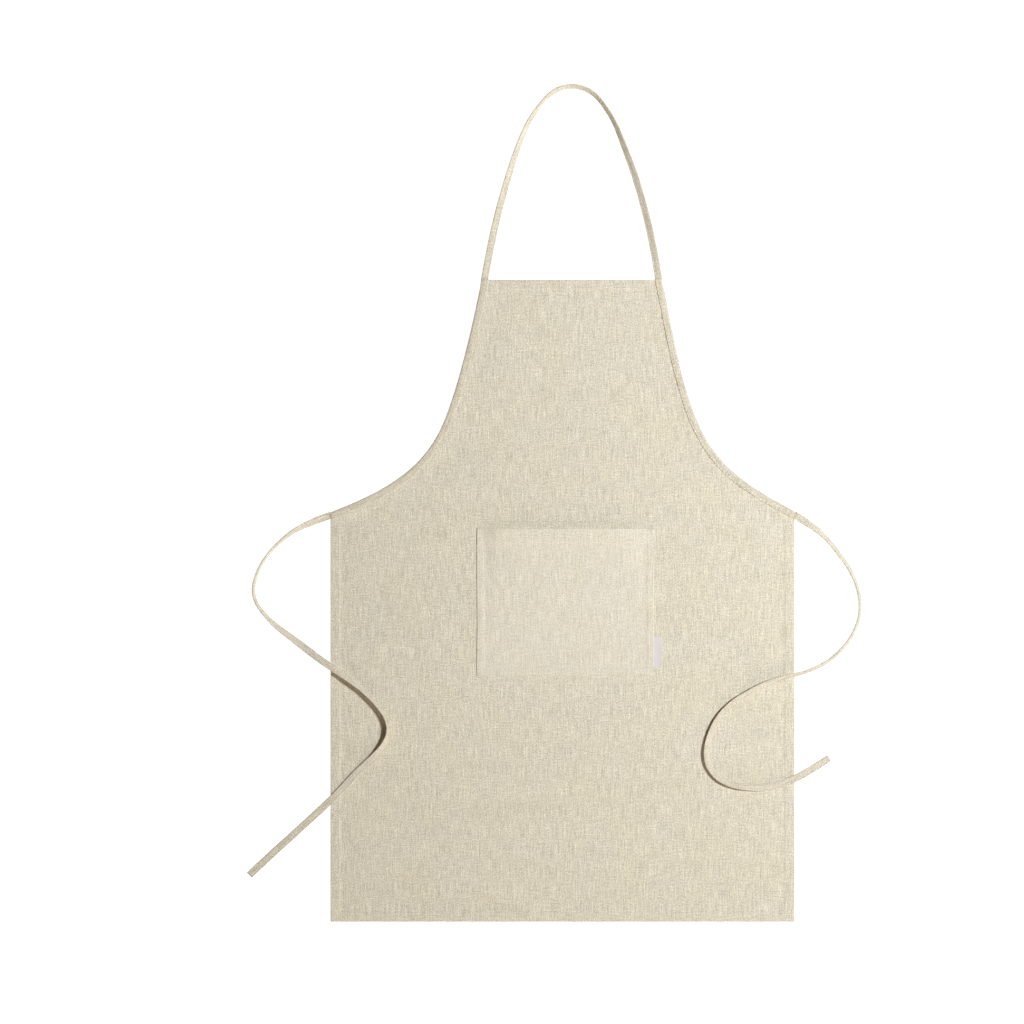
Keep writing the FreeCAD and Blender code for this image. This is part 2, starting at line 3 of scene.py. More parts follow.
import bpy
import numpy as np
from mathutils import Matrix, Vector


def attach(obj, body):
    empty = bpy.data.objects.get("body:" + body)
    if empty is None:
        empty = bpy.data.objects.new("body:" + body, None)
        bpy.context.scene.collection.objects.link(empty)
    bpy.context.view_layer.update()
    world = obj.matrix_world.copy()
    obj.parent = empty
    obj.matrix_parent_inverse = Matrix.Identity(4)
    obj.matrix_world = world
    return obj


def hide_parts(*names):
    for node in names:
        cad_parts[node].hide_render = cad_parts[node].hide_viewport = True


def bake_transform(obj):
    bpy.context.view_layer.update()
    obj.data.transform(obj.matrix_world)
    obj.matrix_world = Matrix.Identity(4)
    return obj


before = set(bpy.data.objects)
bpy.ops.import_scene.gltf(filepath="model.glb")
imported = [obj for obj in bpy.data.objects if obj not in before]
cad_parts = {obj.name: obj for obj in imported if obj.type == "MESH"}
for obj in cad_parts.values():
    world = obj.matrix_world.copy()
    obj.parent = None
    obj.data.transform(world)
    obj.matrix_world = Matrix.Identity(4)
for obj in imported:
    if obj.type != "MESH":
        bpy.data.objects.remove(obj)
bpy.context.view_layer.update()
scene = bpy.context.scene
scene.view_settings.view_transform = "Standard"
MM = 0.001

# --------------------------------------------------------------------- camera
cam_data = bpy.data.cameras.new("camera")
cam_data.lens = 85
cam_data.sensor_width = 36
cam_data.clip_end = 100
camera = bpy.data.objects.new("camera", cam_data)
camera.location = (-0.07075, -0.0123, 3.389)
scene.collection.objects.link(camera)
scene.camera = camera


# -------------------------------------------------------------------- numbers
def smooth(x, low, high):
    t = np.clip((np.asarray(x, float) - low) / (high - low), 0, 1)
    return t * t * (3 - 2 * t)


def noise1(x, wave, seed):
    """Smooth random heights along a line, between -1 and 1."""
    table = np.random.default_rng(seed).uniform(-1, 1, 4096)
    t = np.asarray(x, float) / wave + 1000.37
    i = np.floor(t).astype(int)
    f = t - i
    f = f * f * f * (f * (f * 6 - 15) + 10)
    return table[i % 4096] * (1 - f) + table[(i + 1) % 4096] * f


def noise2(x, y, wave_x, wave_y, seed):
    """Smooth random heights over a plane, between -1 and 1."""
    table = np.random.default_rng(seed).uniform(-1, 1, (256, 256))
    u = np.asarray(x, float) / wave_x + 100.41
    v = np.asarray(y, float) / wave_y + 100.17
    i, j = np.floor(u).astype(int), np.floor(v).astype(int)
    f, g = u - i, v - j
    f = f * f * f * (f * (f * 6 - 15) + 10)
    g = g * g * g * (g * (g * 6 - 15) + 10)
    i, j, k, m = i % 256, j % 256, (i + 1) % 256, (j + 1) % 256
    low = table[i, j] * (1 - f) + table[k, j] * f
    high = table[i, m] * (1 - f) + table[k, m] * f
    return low * (1 - g) + high * g


def along(line):
    """Distance travelled at each point of a line."""
    return np.concatenate(
        [[0], np.cumsum(np.linalg.norm(np.diff(line, axis=0), axis=1))]
    )


def spaced(line, step):
    """The line again, with evenly spaced points."""
    s = along(line)
    n = max(2, int(math.ceil(s[-1] / step)) + 1)
    at = np.linspace(0, s[-1], n)
    return np.stack([np.interp(at, s, line[:, k]) for k in range(line.shape[1])], 1)


def softened(values, width):
    """Values along a line, averaged over a few neighbours."""
    reach = int(width * 3)
    k = np.exp(-0.5 * (np.arange(-reach, reach + 1) / width) ** 2)
    k /= k.sum()
    padded = np.concatenate(
        [np.full(reach, values[0]), values, np.full(reach, values[-1])]
    )
    return np.convolve(padded, k, "valid")


def link(obj):
    scene.collection.objects.link(obj)
    return obj


def new_mesh(name, points_mm, faces, corner_uv=None, material=None):
    """A mesh object from points in millimetres; corner_uv is in metres of cloth."""
    mesh = bpy.data.meshes.new(name)
    points = np.asarray(points_mm, float) * MM
    mesh.from_pydata(points.tolist(), [], faces)
    if corner_uv is not None:
        layer = mesh.uv_layers.new(name="cloth")
        layer.data.foreach_set("uv", np.asarray(corner_uv, np.float32).ravel())
    mesh.polygons.foreach_set("use_smooth", np.ones(len(mesh.polygons), bool))
    mesh.update()
    obj = bpy.data.objects.new(name, mesh)
    if material is not None:
        mesh.materials.append(material)
    return link(obj)


# ------------------------------------------------------------------ materials
class Graph:
    """Short ways to add and join shader nodes."""

    def __init__(self, tree):
        self.tree = tree

    def node(self, kind, **settings):
        made = self.tree.nodes.new(kind)
        for key, value in settings.items():
            setattr(made, key, value)
        return made

    def put(self, value, socket):
        if isinstance(value, bpy.types.NodeSocket):
            self.tree.links.new(value, socket)
        else:
            socket.default_value = value

    def math(self, operation, a, b=None, c=None, clamp=False):
        made = self.node("ShaderNodeMath", operation=operation, use_clamp=clamp)
        for value, socket in zip((a, b, c), made.inputs):
            if value is not None:
                self.put(value, socket)
        return made.outputs[0]

    def vector(self, x, y, z=0.0):
        made = self.node("ShaderNodeCombineXYZ")
        for value, socket in zip((x, y, z), made.inputs):
            self.put(value, socket)
        return made.outputs[0]

    def noise(self, x, y, detail=1.0, rough=0.5):
        """Noise from 0 to 1 in a plane whose axes are already scaled."""
        made = self.node("ShaderNodeTexNoise", noise_dimensions="2D")
        self.put(self.vector(x, y), made.inputs["Vector"])
        made.inputs["Scale"].default_value = 1.0
        made.inputs["Detail"].default_value = detail
        made.inputs["Roughness"].default_value = rough
        return made.outputs[0]

    def range(self, value, a, b, c, d, clamp=True):
        made = self.node("ShaderNodeMapRange", clamp=clamp)
        for v, name in zip((value, a, b, c, d), ("Value", "From Min", "From Max", "To Min", "To Max")):
            self.put(v, made.inputs[name])
        return made.outputs[0]


def weave_group(pitch):
    """Plain weave from coordinates in metres of cloth: a tone about 1, with painted shade in the hollows between
    threads, and a height in thread thicknesses."""
    tree = bpy.data.node_groups.new("plain_weave", "ShaderNodeTree")
    face = tree.interface
    face.new_socket("Tone", in_out="OUTPUT", socket_type="NodeSocketFloat")
    face.new_socket("Warmth", in_out="OUTPUT", socket_type="NodeSocketFloat")
    face.new_socket("Height", in_out="OUTPUT", socket_type="NodeSocketFloat")
    g = Graph(tree)
    coordinates = g.node("ShaderNodeUVMap", uv_map="cloth")
    split = g.node("ShaderNodeSeparateXYZ")
    tree.links.new(coordinates.outputs[0], split.inputs[0])
    x, y = split.outputs[0], split.outputs[1]

    def times(a, k):
        return g.math("MULTIPLY", a, k)

    wander_x = g.math("SUBTRACT", g.noise(times(x, 25.0), times(y, 110.0)), 0.5)
    wander_y = g.math("SUBTRACT", g.noise(times(x, 110.0), times(y, 25.0)), 0.5)
    u = g.math("MULTIPLY_ADD", wander_x, 1.3, times(x, 1.0 / pitch))
    v = g.math("MULTIPLY_ADD", wander_y, 1.3, times(y, 1.0 / pitch))
    i, j = g.math("FLOOR", u), g.math("FLOOR", v)
    a = g.math("SUBTRACT", g.math("FRACT", u), 0.5)
    b = g.math("SUBTRACT", g.math("FRACT", v), 0.5)

    # Thick and thin places along each thread, and its own tone.
    thick_warp = g.noise(times(i, 7.31), times(y, 75.0), 1.0)
    thick_weft = g.noise(times(x, 75.0), times(j, 7.31), 1.0)
    tone_warp = g.noise(times(i, 3.77), times(y, 70.0), 2.0, 0.6)
    tone_weft = g.noise(times(x, 70.0), times(j, 3.77), 2.0, 0.6)

    def profile(across, thick):
        k = g.math("MULTIPLY_ADD", thick, -1.5, 3.2)
        w = g.math("MULTIPLY", across, k)
        return g.math("SUBTRACT", 1.0, g.math("MULTIPLY", w, w))

    over = 0.62
    swing_warp = g.math(
        "MULTIPLY",
        g.math("SINE", times(v, math.pi)),
        g.math("COSINE", times(i, math.pi)),
    )
    swing_weft = g.math(
        "MULTIPLY",
        g.math("SINE", times(u, math.pi)),
        g.math("COSINE", times(j, math.pi)),
    )
    warp = g.math("MULTIPLY_ADD", swing_warp, over, profile(a, thick_warp))
    weft = g.math("MULTIPLY_ADD", swing_weft, -over, profile(b, thick_weft))
    top = g.math("GREATER_THAN", warp, weft)
    height = g.math("MAXIMUM", warp, weft)

    tone_mix = g.node("ShaderNodeMix", data_type="FLOAT")
    g.put(top, tone_mix.inputs["Factor"])
    g.put(tone_weft, tone_mix.inputs["A"])
    g.put(tone_warp, tone_mix.inputs["B"])
    threads = g.math("SUBTRACT", tone_mix.outputs[0], 0.5)
    # Painted shade: the tone is darker where the weave is low, between the threads.
    gap = g.range(height, -0.2, 0.9, 0.70, 1.07)

    streak = g.math("SUBTRACT", g.noise(times(x, 780.0), times(y, 36.0), 1.0, 0.5), 0.5)
    rib = g.math("SUBTRACT", g.noise(times(x, 60.0), times(y, 700.0), 1.0), 0.5)
    speckle = g.math("SUBTRACT", g.noise(times(x, 640.0), times(y, 600.0), 1.0, 0.5), 0.5)
    cloud = g.math("SUBTRACT", g.noise(times(x, 17.0), times(y, 13.0), 2.0, 0.55), 0.5)
    fleck = g.range(g.noise(times(x, 900.0), times(y, 330.0), 1.0), 0.70, 0.80, 0.0, 1.0)

    tone = g.math("MULTIPLY_ADD", threads, 0.50, 1.0)
    for part, amount in ((streak, 0.46), (rib, 0.15), (speckle, 0.64), (cloud, 0.09), (fleck, -0.16)):
        tone = g.math("MULTIPLY_ADD", part, amount, tone)
    tone = g.math("MULTIPLY", tone, gap)
    deep = g.math("MULTIPLY_ADD", threads, -1.0, g.math("MULTIPLY", speckle, -1.0))
    warmth = g.math("MULTIPLY_ADD", cloud, 0.5, g.math("MULTIPLY_ADD", fleck, 0.5, deep))

    end = g.node("NodeGroupOutput")
    tree.links.new(tone, end.inputs["Tone"])
    tree.links.new(warmth, end.inputs["Warmth"])
    tree.links.new(height, end.inputs["Height"])
    return tree


WEAVE = weave_group(0.0008)


def canvas(name, colour, dark, contrast=1.0, sheen=0.12, depth=0.00011):
    """Undyed canvas: the weave's tone moves the colour between two shades."""
    material = bpy.data.materials.new(name)
    material.use_nodes = True
    tree = material.node_tree
    tree.nodes.clear()
    g = Graph(tree)
    weave = g.node("ShaderNodeGroup", node_tree=WEAVE)
    shade = g.node("ShaderNodeMix", data_type="RGBA")
    g.put(g.range(weave.outputs["Warmth"], -0.36, 0.36, 0.0, 1.0), shade.inputs["Factor"])
    shade.inputs["A"].default_value = (*colour, 1)
    shade.inputs["B"].default_value = (*dark, 1)
    tinted = g.node("ShaderNodeVectorMath", operation="SCALE")
    tree.links.new(shade.outputs[2], tinted.inputs[0])
    tone = g.math("MULTIPLY_ADD", weave.outputs["Tone"], contrast, 0.94 * (1 - contrast))
    g.put(tone, tinted.inputs["Scale"])
    shader = g.node("ShaderNodeBsdfPrincipled")
    tree.links.new(tinted.outputs[0], shader.inputs["Base Color"])
    g.put(g.range(weave.outputs["Tone"], 0.6, 1.3, 0.97, 0.82), shader.inputs["Roughness"])
    shader.inputs["Specular IOR Level"].default_value = 0.22
    shader.inputs["Sheen Weight"].default_value = sheen
    shader.inputs["Sheen Roughness"].default_value = 0.5
    bump = g.node("ShaderNodeBump")
    bump.inputs["Strength"].default_value = 0.8
    bump.inputs["Distance"].default_value = depth
    g.put(weave.outputs["Height"], bump.inputs["Height"])
    tree.links.new(bump.outputs[0], shader.inputs["Normal"])
    out = g.node("ShaderNodeOutputMaterial")
    tree.links.new(shader.outputs[0], out.inputs[0])
    return material


def thread_material(name, colour):
    """Spun sewing thread: two plies that wind round it."""
    material = bpy.data.materials.new(name)
    material.use_nodes = True
    tree = material.node_tree
    tree.nodes.clear()
    g = Graph(tree)
    coordinates = g.node("ShaderNodeUVMap", uv_map="cloth")
    split = g.node("ShaderNodeSeparateXYZ")
    tree.links.new(coordinates.outputs[0], split.inputs[0])
    ply = g.math(
        "SINE",
        g.math(
            "MULTIPLY_ADD", split.outputs[1], 6500.0,
            g.math("MULTIPLY", split.outputs[0], 9000.0),
        ),
    )
    fuzz = g.noise(
        g.math("MULTIPLY", split.outputs[0], 2600.0),
        g.math("MULTIPLY", split.outputs[1], 900.0), 2.0,
    )
    # Painted shade: the tone follows the ply height, so it is darker in the grooves between the plies.
    tone = g.math("MULTIPLY_ADD", ply, 0.07, g.math("MULTIPLY_ADD", fuzz, 0.3, 0.85))
    tinted = g.node("ShaderNodeVectorMath", operation="SCALE")
    tinted.inputs[0].default_value = colour
    g.put(tone, tinted.inputs["Scale"])
    shader = g.node("ShaderNodeBsdfPrincipled")
    tree.links.new(tinted.outputs[0], shader.inputs["Base Color"])
    g.put(g.range(fuzz, 0.3, 0.7, 0.6, 0.75), shader.inputs["Roughness"])
    shader.inputs["Specular IOR Level"].default_value = 0.35
    shader.inputs["Sheen Weight"].default_value = 0.1
    bump = g.node("ShaderNodeBump")
    bump.inputs["Strength"].default_value = 0.6
    bump.inputs["Distance"].default_value = 0.00005
    g.put(ply, bump.inputs["Height"])
    tree.links.new(bump.outputs[0], shader.inputs["Normal"])
    out = g.node("ShaderNodeOutputMaterial")
    tree.links.new(shader.outputs[0], out.inputs[0])
    return material


def ribbon_material(name, colour):
    """Satin ribbon: fine ribs across it and a soft gloss."""
    material = bpy.data.materials.new(name)
    material.use_nodes = True
    tree = material.node_tree
    tree.nodes.clear()
    g = Graph(tree)
    coordinates = g.node("ShaderNodeUVMap", uv_map="cloth")
    split = g.node("ShaderNodeSeparateXYZ")
    tree.links.new(coordinates.outputs[0], split.inputs[0])
    x, y = split.outputs[0], split.outputs[1]
    rib = g.math("SINE", g.math("MULTIPLY", y, 2 * math.pi / 0.00034))
    float_ = g.math("SINE", g.math("MULTIPLY", x, 2 * math.pi / 0.00061))
    grain = g.noise(g.math("MULTIPLY", x, 900.0), g.math("MULTIPLY", y, 2400.0), 2.0)
    cloud = g.noise(g.math("MULTIPLY", x, 120.0), g.math("MULTIPLY", y, 90.0), 1.0)
    # Painted shade: the rib and float terms follow the bump height, so the tone is darker in the grooves between ribs.
    tone = g.math("MULTIPLY_ADD", rib, 0.03, g.math("MULTIPLY_ADD", grain, 0.14, 0.90))
    tone = g.math("MULTIPLY_ADD", float_, 0.015, tone)
    tone = g.math("MULTIPLY_ADD", cloud, 0.06, tone)
    tinted = g.node("ShaderNodeVectorMath", operation="SCALE")
    tinted.inputs[0].default_value = colour
    g.put(tone, tinted.inputs["Scale"])
    shader = g.node("ShaderNodeBsdfPrincipled")
    tree.links.new(tinted.outputs[0], shader.inputs["Base Color"])
    g.put(g.range(grain, 0.3, 0.7, 0.36, 0.5), shader.inputs["Roughness"])
    shader.inputs["Sheen Weight"].default_value = 0.2
    bump = g.node("ShaderNodeBump")
    bump.inputs["Strength"].default_value = 0.5
    bump.inputs["Distance"].default_value = 0.00004
    g.put(g.math("ADD", rib, float_), bump.inputs["Height"])
    tree.links.new(bump.outputs[0], shader.inputs["Normal"])
    out = g.node("ShaderNodeOutputMaterial")
    tree.links.new(shader.outputs[0], out.inputs[0])
    return material


PANEL_CANVAS = canvas("canvas", (0.772, 0.730, 0.620), (0.700, 0.636, 0.488), 1.08)
POCKET_CANVAS = canvas("pocket_canvas", (0.830, 0.790, 0.680), (0.762, 0.700, 0.552), 0.78)
STRAP_CANVAS = canvas("strap_canvas", (0.742, 0.694, 0.588), (0.665, 0.596, 0.458), 1.1)
THREAD = thread_material("thread", (0.83, 0.785, 0.665))
RIBBON = ribbon_material("label_ribbon", (0.755, 0.715, 0.715))

# ---------------------------------------------------------------- the stitches
STITCH_X = np.array([-1.30, -1.12, -0.65, 0.0, 0.65, 1.12, 1.30])
STITCH_R = np.array([0.06, 0.17, 0.24, 0.26, 0.24, 0.17, 0.06])
STITCH_Z = 0.10 - 0.30 * (STITCH_X / 1.3) ** 2
SIDES = 6


def stitches(name, centres, heads, normals, seed, scale=1.0, material=None):
    """Small arched lengths of thread, one at each centre, along heads, standing on
    a surface whose outward direction is normals.  Everything in millimetres."""
    r = np.random.default_rng(seed)
    centres = np.asarray(centres, float)
    n = len(centres)
    t = np.asarray(heads, float)
    t = t / np.linalg.norm(t, axis=1)[:, None]
    u = np.asarray(normals, float)
    u = u - (u * t).sum(1)[:, None] * t
    u = u / np.linalg.norm(u, axis=1)[:, None]
    b = np.cross(u, t)
    skew = r.normal(0, 0.05, n)[:, None]
    t, b = t * np.cos(skew) + b * np.sin(skew), b * np.cos(skew) - t * np.sin(skew)
    centres = centres + b * r.normal(0, 0.06, n)[:, None] + t * r.normal(0, 0.08, n)[:, None]
    size = scale * r.uniform(0.93, 1.07, n)[:, None]
    rings = len(STITCH_X)
    angle = np.arange(SIDES) / SIDES * 2 * math.pi
    px = np.repeat(STITCH_X, SIDES)
    py = (STITCH_R[:, None] * np.cos(angle)[None, :] * 1.1).ravel()
    pz = (STITCH_Z[:, None] + STITCH_R[:, None] * np.sin(angle)[None, :] * 0.85).ravel()
    points = (
        centres[:, None, :]
        + (px[None, :] * size)[:, :, None] * t[:, None, :]
        + (py[None, :] * scale)[:, :, None] * b[:, None, :]
        + np.broadcast_to(pz[None, :] * scale, (n, rings * SIDES))[:, :, None] * u[:, None, :]
    )
    faces, uv = [], []
    one, one_uv = [], []
    for k in range(rings - 1):
        for s in range(SIDES):
            q = (s + 1) % SIDES
            one.append([k * SIDES + s, k * SIDES + q, (k + 1) * SIDES + q, (k + 1) * SIDES + s])
            around = [s, s + 1, s + 1, s]
            where = [STITCH_X[k], STITCH_X[k], STITCH_X[k + 1], STITCH_X[k + 1]]
            one_uv += [[a * 0.00027, w * MM] for a, w in zip(around, where)]
    one.append(list(range(SIDES))[::-1])
    one_uv += [[0, STITCH_X[0] * MM]] * SIDES
    one.append([(rings - 1) * SIDES + s for s in range(SIDES)])
    one_uv += [[0, STITCH_X[-1] * MM]] * SIDES
    one_uv = np.array(one_uv)
    for k in range(n):
        base = k * rings * SIDES
        faces += [[v + base for v in f] for f in one]
        uv.append(one_uv + [k * 0.0113, 0.0])
    return new_mesh(name, points.reshape(-1, 3), faces, np.concatenate(uv), material or THREAD)


# --------------------------------------------------------------------- straps
# The routes' points, in metres in the plane, from the part's own design.
LOOP_ROUTE = [
    (-0.1089, 0.3144), (-0.1012, 0.3580), (-0.0906, 0.4051), (-0.0774, 0.4525),
    (-0.0628, 0.4987), (-0.0438, 0.5430), (-0.0082, 0.5840), (0.0374, 0.5827),
    (0.0690, 0.5434), (0.0876, 0.4973), (0.1042, 0.4522), (0.1171, 0.4050),
    (0.1279, 0.3577), (0.1349, 0.3144),
]
LOOP_ROLL = [
    (0.0, 6), (0.05, 9), (0.09, 11), (0.145, 20), (0.201, 26), (0.257, 37),
    (0.313, 50), (0.373, 61), (0.42, 68), (0.46, 66), (0.5, 64), (0.559, 65),
    (0.626, 62), (0.655, 55), (0.685, 45), (0.714, 38), (0.742, 32), (0.799, 27),
    (0.854, 25), (0.91, 24), (0.96, 19), (1.0, 10),
]
LOOP_BASE = [(0.0, 0.0), (1.0, 0.0)]
LEFT_ROUTE = [
    (-0.3272, -0.0178), (-0.3640, -0.0303), (-0.3990, -0.0553), (-0.4260, -0.0894),
    (-0.4362, -0.1313), (-0.4087, -0.1666), (-0.3744, -0.1920), (-0.3407, -0.2180),
    (-0.3043, -0.2413), (-0.2710, -0.2677), (-0.2413, -0.3081), (-0.2510, -0.3436),
    (-0.2863, -0.3751), (-0.3142, -0.4058), (-0.3457, -0.4357), (-0.3773, -0.4646),
    (-0.4094, -0.4934), (-0.4385, -0.5210),
]
LEFT_ROLL = [
    (0.0, 0), (0.012, -12), (0.050, -47), (0.106, -75), (0.14, -78), (0.167, -79),
    (0.193, -76), (0.217, -75), (0.24, -78), (0.268, -72), (0.301, -56),
    (0.338, -38), (0.376, -12), (0.415, -10), (0.443, -15), (0.477, -42),
    (0.504, -57), (0.531, -71), (0.551, -78), (0.575, -85), (0.590, -86),
    (0.611, -83), (0.628, -64), (0.645, -36), (0.665, -12), (0.69, 0), (1.0, 0),
]
LEFT_BASE = [
    (0.0, 0.0), (0.33, 0.0), (0.385, 2.4), (0.425, 6.0), (0.465, 6.2), (0.51, 4.0),
    (0.56, 2.6), (0.805, 2.4), (0.85, 0.0), (1.0, 0.0),
]
RIGHT_ROUTE = [
    (0.3279, -0.0182), (0.3589, -0.0362), (0.3870, -0.0697), (0.4087, -0.1023),
    (0.4193, -0.1440), (0.4090, -0.1829), (0.3818, -0.2158), (0.3463, -0.2354),
    (0.3055, -0.2441), (0.2690, -0.2600), (0.2326, -0.2826), (0.2091, -0.3131),
    (0.1980, -0.3585), (0.2203, -0.3899), (0.2645, -0.3994), (0.3034, -0.3957),
    (0.3416, -0.3782), (0.3738, -0.3572),
]
RIGHT_ROLL = [
    (0.0, 0), (0.012, -5), (0.046, -40), (0.081, -52), (0.114, -55), (0.144, -59),
    (0.198, -64), (0.247, -67), (0.299, -65), (0.365, -64), (0.414, -66),
    (0.437, -62), (0.475, -46), (0.532, -31), (0.583, -26), (0.658, -25),
    (0.704, -26), (0.736, -29), (0.775, -34), (0.798, -30), (0.823, -20),
    (0.845, -8), (0.866, 0), (1.0, 0),
]
RIGHT_BASE = [(0.0, 0.0), (0.37, 0.0), (0.415, 2.2), (0.935, 2.2), (0.975, 0.0), (1.0, 0.0)]
HALF_W, HALF_T = 5.0, 1.0

# Section of a strap folded in four: a folded edge at the left, and at the right the
# two turned-in edges that the row of stitches holds together.
STRAP_SECTION = np.array([
    (-5.00, 0.00), (-4.93, 0.38), (-4.70, 0.72), (-4.30, 0.92), (-3.60, 1.00),
    (-2.00, 1.02), (-0.20, 1.02), (1.40, 0.98), (2.25, 0.86), (2.60, 0.64),
    (2.90, 0.54), (3.20, 0.64), (3.55, 0.86), (4.20, 0.96), (4.68, 0.86),
    (4.94, 0.60), (4.97, 0.32), (4.82, 0.10), (4.40, 0.00), (4.82, -0.10),
    (4.97, -0.32), (4.94, -0.60), (4.68, -0.86), (4.20, -0.96), (3.55, -0.86),
    (3.20, -0.64), (2.90, -0.54), (2.60, -0.64), (2.25, -0.86), (1.40, -0.98),
    (-0.20, -1.02), (-2.00, -1.02), (-3.60, -1.00), (-4.30, -0.92), (-4.70, -0.72),
    (-4.93, -0.38),
])[::-1]


def table_at(rows, x):
    return np.interp(x, [r[0] for r in rows], [r[1] for r in rows])


def nurbs_line(name, points):
    """The smooth line of a NURBS spline with these control points, in metres."""
    data = bpy.data.curves.new(name, "CURVE")
    data.dimensions = "3D"
    data.resolution_u = 24
    spline = data.splines.new("NURBS")
    spline.points.add(len(points) - 1)
    for p, q in zip(spline.points, points):
        p.co = (q[0], q[1], q[2], 1.0)
    spline.order_u = 3
    spline.use_endpoint_u = True
    holder = bpy.data.objects.new(name, data)
    mesh = bpy.data.meshes.new_from_object(holder)
    line = np.array([v.co for v in mesh.vertices], float)
    bpy.data.meshes.remove(mesh)
    bpy.data.objects.remove(holder)
    bpy.data.curves.remove(data)
    return line


def rise_of(roll_deg):
    a = np.radians(roll_deg)
    return HALF_W * np.abs(np.sin(a)) + HALF_T * np.abs(np.cos(a))


def sweep_faces(rings, around):
    """Faces of a closed tube of that many rings, with both its ends closed."""
    k = np.arange(around)
    q = (k + 1) % around
    faces = []
    for i in range(rings - 1):
        a, b = i * around, (i + 1) * around
        faces += np.stack([a + k, a + q, b + q, b + k], 1).tolist()
    faces.append(list(range(around))[::-1])
    faces.append([(rings - 1) * around + s for s in range(around)])
    return faces


def sweep_uv(section, lengths, shift):
    """Cloth coordinates of such a tube: across the section and along it."""
    closed = np.vstack([section, section[:1]])
    u = along(closed) * MM + shift
    v = np.asarray(lengths) * MM
    around = len(section)
    rows = []
    for i in range(len(lengths) - 1):
        block = np.empty((around, 4, 2))
        block[:, 0, 0], block[:, 0, 1] = u[:-1], v[i]
        block[:, 1, 0], block[:, 1, 1] = u[1:], v[i]
        block[:, 2, 0], block[:, 2, 1] = u[1:], v[i + 1]
        block[:, 3, 0], block[:, 3, 1] = u[:-1], v[i + 1]
        rows.append(block.reshape(-1, 2))
    for v_end, order in ((v[0], section[::-1]), (v[-1], section)):
        rows.append(np.stack([order[:, 0] * MM + shift, order[:, 1] * MM + v_end], 1))
    return np.concatenate(rows)


class Strap:
    """A flat strap that follows its NURBS route, tilted by roll and resting on base."""

    def __init__(self, name, route, roll, base, row_side, seed, lead=(4.0, 4.0)):
        self.name, self.row_side, self.seed = name, row_side, seed
        plan = np.array(route, float)
        share = along(plan) / along(plan)[-1]
        height = (table_at(base, share) + rise_of(table_at(roll, share))) * MM
        control = np.column_stack([plan, height])
        line = spaced(nurbs_line(name + "_route", control) * 1000.0, 1.6)
        s = along(line)
        share = s / s[-1]
        angle = softened(table_at(roll, share), 3.0)
        ease = smooth(s, 0.0, 9.0)
        if row_side < 0 and name == "neck_loop_strap":
            ease = ease * smooth(s[-1] - s, 0.0, 9.0)
        angle = angle * ease
        # The strap lies on what is under it: its lower edge is on the base.
        low = softened(table_at(base, share), 3.0)
        line[:, 2] = low + rise_of(angle)
        line[:, 2] = np.maximum(softened(line[:, 2], 1.2), line[:, 2])
        self.line, self.s, self.angle = line, s, angle
        step = np.gradient(line, axis=0)
        step = np.stack([softened(step[:, k], 1.5) for k in range(3)], 1)
        self.t = step / np.linalg.norm(step, axis=1)[:, None]
        side = np.cross(np.array([0.0, 0.0, 1.0]), self.t)
        side /= np.linalg.norm(side, axis=1)[:, None]
        up = np.cross(self.t, side)
        a = np.radians(angle)[:, None]
        self.w = side * np.cos(a) + up * np.sin(a)
        self.n = -side * np.sin(a) + up * np.cos(a)
        self.lead = lead

    def build(self, start_thick, end_thick):
        """The strap's mesh; the first and last section may be thicker, as is the
        binding that each comes out of."""
        line, s, t, w, n = self.line, self.s, self.t, self.w, self.n
        section = STRAP_SECTION.copy()
        section[:, 0] *= self.row_side
        if self.row_side < 0:
            section = section[::-1]
        front, back = self.lead
        first = line[:1] - t[:1] * front
        last = line[-1:] + t[-1:] * back
        pts = np.vstack([first, line, last]) if back else np.vstack([first, line])
        idx = np.concatenate([[0], np.arange(len(line)), [len(line) - 1]])
        idx = idx if back else idx[:-1]
        pos = np.concatenate([[-front], s, [s[-1] + back]])
        pos = pos if back else pos[:-1]
        w, n = w[idx], n[idx]
        thick = np.ones(len(pos))
        thick += (start_thick - 1) * (1 - smooth(pos, 0.0, 9.0))
        if back:
            thick += (end_thick - 1) * (1 - smooth(s[-1] - pos, 0.0, 9.0))
        ripple = 0.10 * noise1(pos, 4.8, self.seed) + 0.05 * noise1(pos, 2.6, self.seed + 1)
        wave = 0.14 * noise1(pos, 6.5, self.seed + 2)
        across = section[None, :, 0] + self.row_side * ripple[:, None] * smooth(
            self.row_side * section[None, :, 0], 1.0, 5.0
        )
        out = section[None, :, 1] * thick[:, None]
        out = out + (wave[:, None] * smooth(self.row_side * section[None, :, 0], -1.0, 4.0))
        points = pts[:, None, :] + across[:, :, None] * w[:, None, :] + out[:, :, None] * n[:, None, :]
        points[:, :, 2] = np.maximum(points[:, :, 2], 0.02)
        faces = sweep_faces(len(pts), len(section))
        uv = sweep_uv(section, pos, 0.1 * self.seed % 0.37)
        return new_mesh(self.name, points.reshape(-1, 3), faces, uv, STRAP_CANVAS)

    def stitch_rows(self, name, first, last):
        """The row of stitches on both faces of the strap, between two distances."""
        pitch = 3.2
        places = np.arange(first, last, pitch)
        parts = []
        for face, shift in ((1.0, 0.0), (-1.0, pitch / 2)):
            at = places + shift
            at = at[at < last]
            get = lambda field: np.stack([np.interp(at, self.s, field[:, k]) for k in range(3)], 1)
            p, t, w, n = get(self.line), get(self.t), get(self.w), get(self.n)
            wave = 0.14 * noise1(at, 6.5, self.seed + 2) * 0.9
            c = p + w * (self.row_side * 2.9) + n * (face * 0.68 + wave[:, None])
            parts.append((c, t, n * face))
        c, t, n = (np.concatenate([q[k] for q in parts]) for k in range(3))
        return stitches(name, c, t, n, self.seed + 5)


